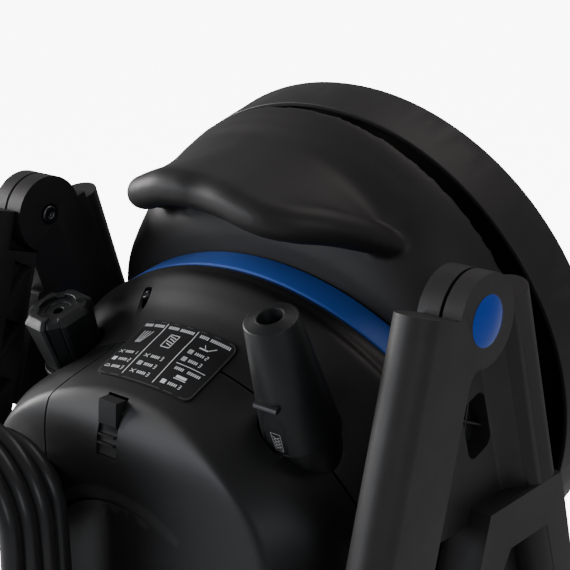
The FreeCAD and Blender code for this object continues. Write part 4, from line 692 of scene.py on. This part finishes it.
def slopeHeight(x, y):  # z = spring + (1 - (|x| / w)^p)^(1 / p) (crown - spring)
    x, y = np.broadcast_arrays(x, y)
    shape = curved(stations[:, 0], stations[:, 1:], y.ravel()).reshape(y.shape + (3,))
    crown, spring, power = shape[..., 0], shape[..., 1], shape[..., 2]
    share = np.clip(np.abs(x) / archHalf(y), 0, 1)
    return spring + (1 - share**power) ** (1 / power) * (crown - spring)


def circleThrough(a, b, c):
    m = np.array([[b[0] - a[0], b[1] - a[1]], [c[0] - a[0], c[1] - a[1]]], float) * 2
    square = [p[0] ** 2 + p[1] ** 2 for p in (a, b, c)]
    centre = np.linalg.solve(m, np.array([square[1] - square[0], square[2] - square[0]]))
    return centre, np.linalg.norm(centre - a)


faceCentre, faceRadius = circleThrough(upper["faceEdge"], upper["faceMid"], upper["faceLow"])


def faceY(z):  # the front face, upright: an arc down to its lowest point, then plumb
    bent = np.clip(z, upper["faceLow"][1], upper["faceEdge"][1])
    return faceCentre[0] - np.sqrt(np.maximum(faceRadius**2 - (bent - faceCentre[1]) ** 2, 0))


# lines run forward from the seam until they meet the front face, then down over it to its foot
def frontSkin(stops=90, slopeSteps=34, faceSteps=45):
    ys = np.linspace(upper["seamY"] - upper["seamGap"], upper["skinEnd"], stops)
    lines = np.stack([turned(bodyArch(y), reelTilt) for y in ys], 1)  # across, forward, xyz
    ahead = lines[..., 1] - faceY(lines[..., 2])
    hit = np.argmax(ahead < 0, axis=1)
    rows = np.arange(len(lines))
    share = ahead[rows, hit - 1] / (ahead[rows, hit - 1] - ahead[rows, hit])
    edge = lines[rows, hit - 1] + share[:, None] * (lines[rows, hit] - lines[rows, hit - 1])
    slope = np.stack([evenly(np.concatenate([line[:h], e[None]]), slopeSteps)
                      for line, h, e in zip(lines, hit, edge)])
    foot = np.array([0, faceY(np.array(upper["floorZ"])), upper["floorZ"]])
    t = np.linspace(0, 1, faceSteps + 1)[1:]
    down = edge[:, None] + t[None, :, None] * (foot - edge)[:, None]
    down[..., 1] = faceY(down[..., 2])
    return averaged(np.concatenate([slope, down], 1), 4, axis=1)


# each row is measured again so that one point of it lies on the cheek's edge
def splitAtSeam(skin):
    left, right = [], []
    cheekSteps, coverSteps, gap = upper["cheekSteps"], upper["coverSteps"], upper["seamGap"]
    for row in skin.swapaxes(0, 1):
        offset = row[:, 0] - np.interp(-row[:, 2], -seamLine[:, 1], seamLine[:, 0])
        if (offset > 0).all() or (offset < 0).all():  # below the cheek, or the single point at the foot
            wide = np.ptp(row, axis=0).max() > 0.01
            left.append(np.repeat(row[:1], cheekSteps, 0))
            right.append(evenly(row, coverSteps) if wide else np.repeat(row[:1], coverSteps, 0))
            continue
        k = int(np.argmax(offset > 0))
        cut = row[k - 1] + offset[k - 1] / (offset[k - 1] - offset[k]) * (row[k] - row[k - 1])
        way = row[min(k + 2, len(row) - 1)] - row[max(k - 3, 0)]
        way *= gap / np.linalg.norm(way)
        clear = np.linalg.norm(row - cut, axis=1) > 2 * gap
        before, after = row[:k][clear[:k]], row[k:][clear[k:]]
        start = before if len(before) else (cut - 2 * way)[None]
        left.append(evenly(np.concatenate([start, (cut - way)[None]]), cheekSteps))
        right.append(evenly(np.concatenate([(cut + way)[None], after]), coverSteps))
    return np.array(left), np.array(right)


def shellPiece(name, grid, node, slotName, place, cutters, rim, thick=upper["wall"]):
    obj = meshOf(name, place(grid), gridFaces(*grid.shape[:2]))
    clean(obj, 2e-5, False)
    middle = Vector(place(np.array(upper["middle"])))
    addWall(obj, thick, lambda face: (face.calc_center_median() - middle).dot(face.normal))
    applyModifiers(obj)
    cutWith(obj, *cutters)
    roundEdges(obj, rim, 2, 40)
    give(obj, "chassis", slotName, [node])


socket = dict(x=97.0, y=-40.0, z=-79.0, lean=20.0, outer=21.3, mouth=23.9, lip=1.5, below=-60.0, above=70.0)
latchHole = dict(x=-7.6, half=7.5, gap=0.9, top=-69.0, bottom=-103.0, recess=3.4, farY=-130.0, nearY=-60.0,
                 pocket=3.0, inset=0.5)


def atSocket(points, side):  # drawn upright on the socket's mouth, leaned towards the operator
    angle = math.radians(socket["lean"])
    return fromHinge(turned(points, angle) + np.array([side * socket["x"], socket["y"], socket["z"]]))


def socketCutter(side):  # a bore with a wider mouth
    s = socket
    profile = [(s["below"], 0), (s["below"], s["outer"]), (s["lip"], s["outer"]), (s["lip"], s["mouth"]),
               (s["above"], s["mouth"]), (s["above"], 0)]
    return lathe("socketCut", profile, (0, 0, 0), (0, 0, 1), lambda p: atSocket(p, side), 64, False)


def boxCutter(x0, x1, y0, y1, z0, z1):
    return slab("boxCut", [(y0, z0), (y1, z0), (y1, z1), (y0, z1)], x0, x1, sideways)


def rodCutter(origin, axis, near, far, radius, place, steps):
    profile = [(near, 0), (near, radius), (far, radius), (far, 0)]
    return lathe("rodCut", profile, origin, axis, place, steps, False)


screwWell = dict(x=55.5, y=-15.0, sink=3.4, radius=4.3, fall=19.0, length=34.0)


def wellCutter(side):  # a round bore that runs out through the slope as a groove towards the operator
    w = screwWell
    angle = math.radians(w["fall"])
    start = (side * w["x"], w["y"], float(slopeHeight(w["x"], w["y"])) - w["sink"])
    way = (0, -math.cos(angle), -math.sin(angle))
    return rodCutter(start, way, 0, w["length"], w["radius"], fromReel, 48)


def upperBody():
    rear, ahead = upper["rearY"], upper["seamY"] + upper["seamGap"]

    def dip(y):  # a shallow hollow across the collar: a bell curve of y
        share = (y - rear + upper["dipBack"]) / upper["dipSpread"]
        return (0, 0, upper["dipDepth"] * math.exp(-share ** 2))

    lip = [bodyArch(rear - 0.2) - (0, 0, 2.4), bodyArch(rear) - (0, 0, 0.9), bodyArch(rear - 1.2)]
    collar = np.stack(lip + [bodyArch(y) - dip(y) for y in np.linspace(rear - 4, ahead, 72)])
    sockets = [socketCutter(-1), socketCutter(1)]
    wells = [wellCutter(-1), wellCutter(1)]
    shellPiece("collarSkin", collar, "collar", "charcoal_plastic", fromReel, sockets + wells, 0.6,
               upper["collarWall"])
    cheek, cover = splitAtSeam(frontSkin())
    h = latchHole
    narrow = h["half"] + h["gap"]
    wide = narrow + h["recess"]
    slot = boxCutter(h["x"] - narrow, h["x"] + narrow, h["farY"], h["nearY"], h["bottom"] - h["gap"],
                     h["top"] + h["gap"])
    pocketY = float(faceY(np.array(h["top"]))) + h["inset"]
    pocket = boxCutter(h["x"] - wide, h["x"] + wide, h["farY"], pocketY, h["top"], h["top"] + h["pocket"])
    shellPiece("coverSkin", cover, "front_cover", "black_plastic", fromHinge,
               sockets[1:] + [slot, pocket], 0.7)
    shellPiece("cheekSkin", cheek, "cheek_left", "black_plastic", fromHinge, sockets[:1], 0.7)
    drop(*sockets, *wells, slot, pocket)


upperBody()
print("upper body done")

# label plate on the slope, with rows of plain marks

label = dict(half=39.5, back=-37.0, front=-85.6, corner=5.0, lift=1.0, thick=1.1, markLift=1.06,
             borderInset=1.0, borderTuck=0.8, borderWidth=0.28)
dash = dict(pitch=1.45, height=2.1, width=0.78, gap=0.8)


def onLabel(across, down, lift):  # across from the middle, down from the plate's back edge
    y = label["back"] - down
    return np.stack([across, y, slopeHeight(across, y) + lift], -1)


def labelPlate():
    half, length, r = label["half"], label["back"] - label["front"], label["corner"]
    t = np.linspace(0, 1, 12)
    down = np.concatenate([r * (1 - np.cos(t * np.pi / 2)), np.linspace(r, length - r, 22)[1:-1],
                           length - r + r * np.sin(t * np.pi / 2)])
    gap = np.maximum(np.maximum(r - down, down - (length - r)), 0)
    width = half - r + np.sqrt(np.maximum(r * r - gap * gap, 0))
    across = np.linspace(-1, 1, 49)[:, None] * width[None, :]
    down, across = np.broadcast_arrays(down, across)
    obj = meshOf("labelPlate", fromReel(onLabel(across, down, label["lift"])), gridFaces(*across.shape))
    clean(obj, 1e-6)
    addWall(obj, label["thick"], lambda face: face.normal.z)
    roundEdges(obj, 0.3, 2, 50)
    give(obj, "chassis", "label_print", ["label_plate"])


# each stroke runs from a to b with a width: a flat ribbon in six steps, so that it lies on a curve
def strokeMesh(name, strokes, place):
    strokes = np.asarray(strokes, float)
    a, b, width = strokes[:, 0:2], strokes[:, 2:4], strokes[:, 4]
    way = (b - a) / np.linalg.norm(b - a, axis=1)[:, None]
    side = np.stack([-way[:, 1], way[:, 0]], -1) * width[:, None] / 2
    t = np.linspace(0, 1, 7)
    line = a[:, None] + (b - a)[:, None] * t[None, :, None]
    ribbons = np.stack([line - side[:, None], line + side[:, None]], 2)
    faces = []
    for index in range(len(strokes)):
        faces += gridFaces(len(t), 2, start=index * 2 * len(t))
    return meshOf(name, place(ribbons[..., 0], ribbons[..., 1]), faces)


digitBars = {1: "bc", 2: "abged", 3: "abgcd"}
barEnds = {"a": (0, 0, 1, 0), "b": (1, 0, 1, 1), "c": (1, 1, 1, 2), "d": (0, 2, 1, 2), "e": (0, 1, 0, 2),
           "g": (0, 1, 1, 1)}


def digit(number, x, y, w=1.3, h=1.35, thick=0.42):
    bars = [barEnds[key] for key in digitBars[number]]
    return [(x + x0 * w, y + y0 * h, x + x1 * w, y + y1 * h, thick) for x0, y0, x1, y1 in bars]


def outlineBox(x0, y0, x1, y1, thick):
    corners = [(x0, y0), (x1, y0), (x1, y1), (x0, y1)]
    return [a + b + (thick,) for a, b in zip(corners, corners[1:] + corners[:1])]


def levelRow(x, y, number, icon):  # a small picture, a bar and the number of the power step
    marks = dashes(x + 6.4, x + 13.0, y + 1.35) + digit(number, x + 14.4, y)
    if icon == "block":
        marks += [(x + 2.0, y - 0.2, x + 2.0, y + 2.9, 3.6)]
    elif icon == "mesh":
        marks += [(x + 0.4, y + k * 0.9, x + 4.0, y + k * 0.9, 0.35) for k in range(4)]
        marks += [(x + 0.6 + k * 1.0, y - 0.1, x + 0.6 + k * 1.0, y + 2.8, 0.3) for k in range(4)]
    elif icon == "car":
        marks += [(x, y + 2.2, x + 4.4, y + 2.2, 0.4), (x + 0.8, y + 0.6, x + 3.2, y + 0.6, 0.4),
                  (x, y + 2.2, x + 0.8, y + 0.6, 0.4), (x + 3.2, y + 0.6, x + 4.4, y + 2.2, 0.4)]
    else:
        marks += [(x + 0.3, y + 2.6, x + 4.2, y, 0.45), (x + 0.3, y + 0.2, x + 3.8, y + 2.8, 0.45)]
    return marks


def dashes(x0, x1, y, gap=None):  # a row of short upright strokes, with one gap
    d = dash
    return [(x, y + d["height"] / 2, x, y - d["height"] / 2, d["width"])
            for x in np.arange(x0, x1, d["pitch"]) if gap is None or abs(x - gap) > d["gap"]]


def labelMarks():
    first, second, end = -18.0, 8.0, 45.5
    marks = [(first, 1.6, first, end, 0.6), (second, 1.6, second, end, 0.6)]
    for x0, x1, gap in ((-36.5, -20.5, -29.0), (-15.0, 5.5, -6.5), (11.5, 35, 19.0)):
        marks += dashes(x0, x1, 4.0, gap)
    marks += [(-32.5 + k * 2.6, 9.0, -31.8 + k * 1.2, 19.5, 0.55) for k in range(4)]
    marks += outlineBox(-9.0, 9.0, -1.8, 19.5, 0.55)
    marks += [(-8.4 + 1.5 * (k % 2), 10.2 + k * 2.0, -2.6, 11.6 + k * 2.0, 0.6) for k in range(4)]
    marks += [(17.0, 11.8, 24.0, 11.8, 1.0), (24.0, 11.4, 28.0, 8.2, 0.6), (19.0, 8.4, 21.0, 10.8, 0.5)]
    for x, rows in ((-37.0, ((27.0, 1, "leaf"), (33.6, 2, "block"), (40.2, 3, "car"))),
                    (-14.5, ((27.0, 3, "leaf"), (33.6, 3, "mesh"), (40.2, 3, "leaf"))),
                    (12.0, ((15.4, 2, "mesh"), (21.6, 3, "mesh"), (40.6, 3, "block")))):
        for y, number, icon in rows:
            marks += levelRow(x, y, number, icon)
    marks += [(11.5, 27.2, 34.5, 27.2, 0.45)] + dashes(14.0, 33.0, 30.6, 22.0)
    marks += [(19.0, 35.6, 27.0, 35.6, 2.0), (18.2, 37.4, 27.6, 37.4, 0.6)]
    inset, side = label["borderInset"], label["half"] - label["borderInset"]
    foot = label["back"] - label["front"] - inset
    rim = filleted([(-side, inset), (side, inset), (side, foot), (-side, foot)],
                   label["corner"] - label["borderTuck"], 8)
    border = np.concatenate([rim, np.roll(rim, -1, 0), np.full((len(rim), 1), label["borderWidth"])], 1)
    for name, strokes, ink in (("labelMarks", marks, whitePrint), ("labelBorder", border, greyPrint)):
        obj = strokeMesh(name, strokes, lambda x, y: fromReel(onLabel(x, y, label["markLift"])))
        give(obj, "chassis", "label_print", material=ink, shade=False)


labelPlate()
labelMarks()
print("label done")

# nozzles in their sockets

rough = dict(top=84.0, topRadius=15.6, foot=2.3, footRadius=23.5, mouth=7.6, throat=4.2, stub=15.0,
             stubLow=-33.6, bandZ=35.0, half=8.5, flatY=-20.4)
fan = dict(top=43.0, foot=2.3, footShare=0.835, shoulder=38.6, floor=41.2, well=12.8, hole=3.4, slit=12.6,
           turn=-8)


def roughNozzle():
    r = rough
    top, foot, wide, mouth, throat = r["top"], r["foot"], r["footRadius"], r["mouth"], r["throat"]
    rim = r["topRadius"]
    lean = (wide - rim) / (top - foot)
    profile = [(r["stubLow"], 0), (r["stubLow"], r["stub"]), (foot, r["stub"]), (foot, wide - 0.8),
               (foot + 0.8, wide), (30, wide - 27.7 * lean), (top - 2.4, rim + 2.4 * lean),
               (top - 1.9, rim - 0.1), (top - 1.5, rim - 0.9), (top - 0.4, mouth + 1.4), (top, mouth + 0.7),
               (top - 0.3, mouth), (top - 8, throat + 0.8), (top - 13, throat), (top - 34, throat),
               (top - 34, 0)]

    def place(points):
        return atSocket(points, 1)

    body = lathe("roughNozzle", profile, (0, 0, 0), (0, 0, 1), place, 96, False)
    flat = slab("flatCut", [(-40, -5), (r["flatY"], -5), (r["flatY"], r["bandZ"]), (-40, r["bandZ"])],
                -r["half"], r["half"], sideways, place)
    cutWith(body, flat)
    drop(flat)
    roundEdges(body, 0.5, 2, 40)
    give(body, "wide_jet", "charcoal_plastic", ["rough_nozzle"], darkPlastic)
    outline = filleted([(-24.0, 34.4), (-19.0, 34.4), (-18.5, 37.4), (-22.2, 37.0)], 0.7, 4)
    band = slab("roughBand", outline, -r["half"], r["half"], sideways, place)
    roundEdges(band, 0.5, 2, 30)
    give(band, "wide_jet", "charcoal_plastic", material=darkPlastic)
    marks = [(-2.6, 4.0, -3.4, 16.5, 0.4), (3.0, 4.0, 3.6, 16.5, 0.4), (-2.6, 4.0, 3.0, 4.0, 0.4),
             (-3.4, 16.5, 3.6, 16.5, 0.4)]
    for x0, x1 in ((-2.4, 2.6), (2.6, -2.4)):
        marks += [(x0, 5.2 + 2.2 * k, x1, 7.5 + 2.2 * k, 0.5) for k in range(4)]
    sign = strokeMesh("roughSign", marks,
                      lambda x, z: place(np.stack([x, np.full_like(x, r["flatY"] - 0.06), z], -1)))
    give(sign, "wide_jet", "label_print", material=greyMark, shade=False)


def eightSided():  # four wide faces, and a narrow one between two slits at each corner
    quarter = np.array([(21.0, 8.4), (19.1, 11.3), (17.7, 10.6), (17.3, 11.9), (11.9, 17.3), (10.6, 17.7),
                        (11.3, 19.1), (8.4, 21.0)])
    spin = [quarter]
    for _ in range(3):
        spin.append(np.stack([-spin[-1][:, 1], spin[-1][:, 0]], -1))
    edge = filleted(np.concatenate(spin), [0.8, 0.5, 0.3, 0.5, 0.5, 0.3, 0.5, 0.8] * 4, 3)
    parts = [a + (b - a) * np.arange(6)[:, None] / 6 if np.linalg.norm(b - a) > 3 else a[None]
             for a, b in zip(edge, np.roll(edge, -1, 0))]
    return np.concatenate(parts)


def fanNozzle():  # rows run from the stub up the side, over the raised corners and down the bore
    f = fan
    foot, shoulder, well, hole, base = f["foot"], f["shoulder"], f["well"], f["hole"], f["footShare"]
    edge = eightSided()
    radius = np.linalg.norm(edge, axis=1)
    unit = edge / radius[:, None]
    turn = np.degrees(np.arctan2(edge[:, 1], edge[:, 0])) % 90
    raised = np.clip((np.abs(turn - 45) - f["slit"]) / 1.2, 0, 1)
    deck = f["floor"]
    top = deck + raised * (f["top"] - deck)
    rows = [(0.01, rough["stubLow"]), (rough["stub"], rough["stubLow"]), (rough["stub"], foot),
            (radius * base - 0.6, foot), (radius * base, foot + 0.6)]
    for share in (0.25, 0.5, 0.75, 1.0):
        rows.append((radius * (base + (1 - base) * share), foot + share * (shoulder - foot)))
    rows += [(radius - 0.35, shoulder + 0.45), (radius - 1.6 - 2.6 * raised, top - 0.25),
             (radius - 2.2 - 2.6 * raised, top), (well + 0.5, top), (well, top - 0.5), (well, deck - 1.2),
             (8.8, deck - 1.2), (8.4, deck - 2.0), (hole + 0.5, deck - 2.0), (hole, deck - 2.5),
             (hole, deck - 16), (0.01, deck - 16)]
    same = np.ones_like(radius)
    points = np.stack([np.concatenate([unit * (r * same)[:, None], (z * same)[:, None]], 1)
                       for r, z in rows], 1)
    c, n = math.cos(math.radians(f["turn"])), math.sin(math.radians(f["turn"]))
    points = points @ np.array([(c, n, 0), (-n, c, 0), (0, 0, 1)])
    obj = meshOf("fanNozzle", atSocket(points, -1), gridFaces(*points.shape[:2], True, False))
    clean(obj, 3e-5)
    give(obj, "fan_jet", "charcoal_plastic", ["fan_nozzle"], darkPlastic, 28)


roughNozzle()
fanNozzle()
print("nozzles done")

# side frames: a web behind each window and a swept cheek between plate and tube

post = dict(lean=18.0, inner=164.0, plate=177.85, outer=191.85, near=5.5, far=28.5, low=-168.0, high=-5.6,
            disc=27.5)
window = dict(y0=-17.9, y1=4.9, z0=-89.9, z1=-52.1, corner=7.0, ribHalf=0.7)
gapShadowRing = dict(low=191.75, high=191.92, inner=14.7, outer=15.7)


def atPost(points, side, lean=post["lean"]):  # drawn upright at the hinge, then leaned; mirrored for the left
    return fromHinge(turned(points, math.radians(lean)) * np.array([side, 1, 1]))


def postFill(side):  # x = plate + (3 t^2 - 2 t^3) (outer - plate), t across the post
    p = post
    t = np.linspace(0, 1, 15)
    y = p["near"] + t * (p["far"] - p["near"])
    x = p["plate"] + (3 * t**2 - 2 * t**3) * (p["outer"] - p["plate"])
    within = p["plate"] - 2
    outline = np.concatenate([np.stack([y, x], -1), [(p["far"], within), (p["near"], within)]])
    obj = slab("postCheek" + sideName(side), outline, p["low"], p["high"],
               lambda flat, z: np.stack([flat[:, 1], flat[:, 0], z], -1), lambda q: atPost(q, side))
    room = rodCutter((0, 0, 0), (side, 0, 0), 100, 200, p["disc"], fromHinge, 72)
    cutWith(obj, room)
    drop(room)
    give(obj, "chassis", "charcoal_plastic", angle=30)


def shadedWindowWeb(side):
    w, name = window, sideName(side)
    corners = filleted([(w["y0"], w["z0"]), (w["y1"], w["z0"]), (w["y1"], w["z1"]), (w["y0"], w["z1"])],
                       w["corner"], 8)
    shadedWeb = slab("shadedWindowWeb" + name, corners, post["inner"] + 0.1, post["inner"] + 1.6, sideways,
               lambda q: atPost(q, side))
    # the web takes darker plastic than the ribs in front of it: painted shade at the back of the window's
    # recess
    give(shadedWeb, "chassis", "charcoal_plastic", material=darkPlastic)
    for index, (y0, z0, y1, z1) in enumerate(((-17.8, -60, 4.8, -80), (-17.8, -84, -1, -52.2))):
        a, b = np.array([y0, z0]), np.array([y1, z1])
        across = np.array([-(b - a)[1], (b - a)[0]]) / np.linalg.norm(b - a) * w["ribHalf"]
        rib = slab("windowRib%s%d" % (name, index), [a - across, b - across, b + across, a + across],
                   post["inner"] + 0.5, post["inner"] + 9.0, sideways, lambda q: atPost(q, side))
        roundEdges(rib, 0.3, 2, 30)
        give(rib, "chassis", "charcoal_plastic")


def buttonGapShadow(side):  # a thin flat dark ring on the arm's face around the release button: painted shadow of the gap round it
    b = gapShadowRing
    shadowRing = lathe("buttonGapShadow" + sideName(side),
                   [(b["low"], b["inner"]), (b["high"], b["inner"]), (b["high"], b["outer"]),
                    (b["low"], b["outer"])], (0, 0, 0), (side, 0, 0), fromHinge, 96)
    # the darker plastic on this flat ring is painted shade where the gap is
    give(shadowRing, "handle", "charcoal_plastic", material=darkPlastic)


buttonGapShadow(-1)
buttonGapShadow(1)
for side in (-1, 1):
    postFill(side)
    shadedWindowWeb(side)
print("side frames done")

# every other node keeps its shape, with its edges eased

arm = dict(lean=-15.6, face=191.86, beyond=200.0, gapNear=177.6, gapFar=179.9, gapRadius=27.3)


def armCutters(side):  # a face flush into the tube, and a clear gap beside the frame's disc
    flat = slab("faceCut", [(-80, -460), (60, -460), (60, 60), (-80, 60)], arm["face"], arm["beyond"],
                sideways, lambda q: atPost(q, side, arm["lean"]))
    gap = rodCutter((0, 0, 0), (side, 0, 0), arm["gapNear"], arm["gapFar"], arm["gapRadius"], fromHinge, 96)
    return [flat, gap]


def eased(node, width=0.7, segments=2, side=0):
    source = nodes[node]
    obj = addObject(node + "Piece", source.data.copy())
    work = bmesh.new()
    work.from_mesh(obj.data)
    bmesh.ops.remove_doubles(work, verts=work.verts, dist=1e-6)
    bmesh.ops.dissolve_limit(work, angle_limit=math.radians(1.0), verts=work.verts, edges=work.edges)
    work.to_mesh(obj.data)
    work.free()
    if side:
        cutters = armCutters(side)
        cutWith(obj, *cutters)
        drop(*cutters)
    roundEdges(obj, width, segments, 32)
    give(obj, source["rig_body"], slotOf.get(node, "charcoal_plastic"), [node], angle=32)


keptOwn = {"cable_lead", "cable_hank", "cable_tail", "shroud", "trim_ring", "collar", "front_cover",
           "cheek_left", "label_plate", "rough_nozzle", "fan_nozzle"}
softer = {"latch": dict(width=1.5, segments=3),
          "handle_arm_left": dict(width=2.0, segments=3, side=-1),
          "handle_arm_right": dict(width=2.0, segments=3, side=1)}
for node in sorted(nodes):
    if node not in keptOwn:
        eased(node, **softer.get(node, {}))
print("other nodes eased")

fromHinge(route[0]).tolist()

# floor

floorMaterial = finish("paleFloor", (0.80, 0.80, 0.80), (0.84, 0.84, 0.84), (0.6, 0.7), 40.0, bump=0.02,
                       rub=0.0, dust=0.0)
half = studio["floorSize"] / 2
corners = [(-half, -half, 0), (half, -half, 0), (half, half, 0), (-half, half, 0)]
floor = meshOf("studioFloor", corners, [[0, 1, 2, 3]])
floor.data.materials.append(floorMaterial)
floorTree = floorMaterial.node_tree  # the sweep shows bright without throwing that light on the machine
seen = floorTree.nodes.new("ShaderNodeLightPath").outputs["Is Camera Ray"]
glow = floorTree.nodes["Principled BSDF"].inputs
glow["Emission Color"].default_value = (1, 1, 1, 1)
put(floorTree, mathNode(floorTree, "MULTIPLY", seen, studio["floorGlow"]), glow["Emission Strength"])
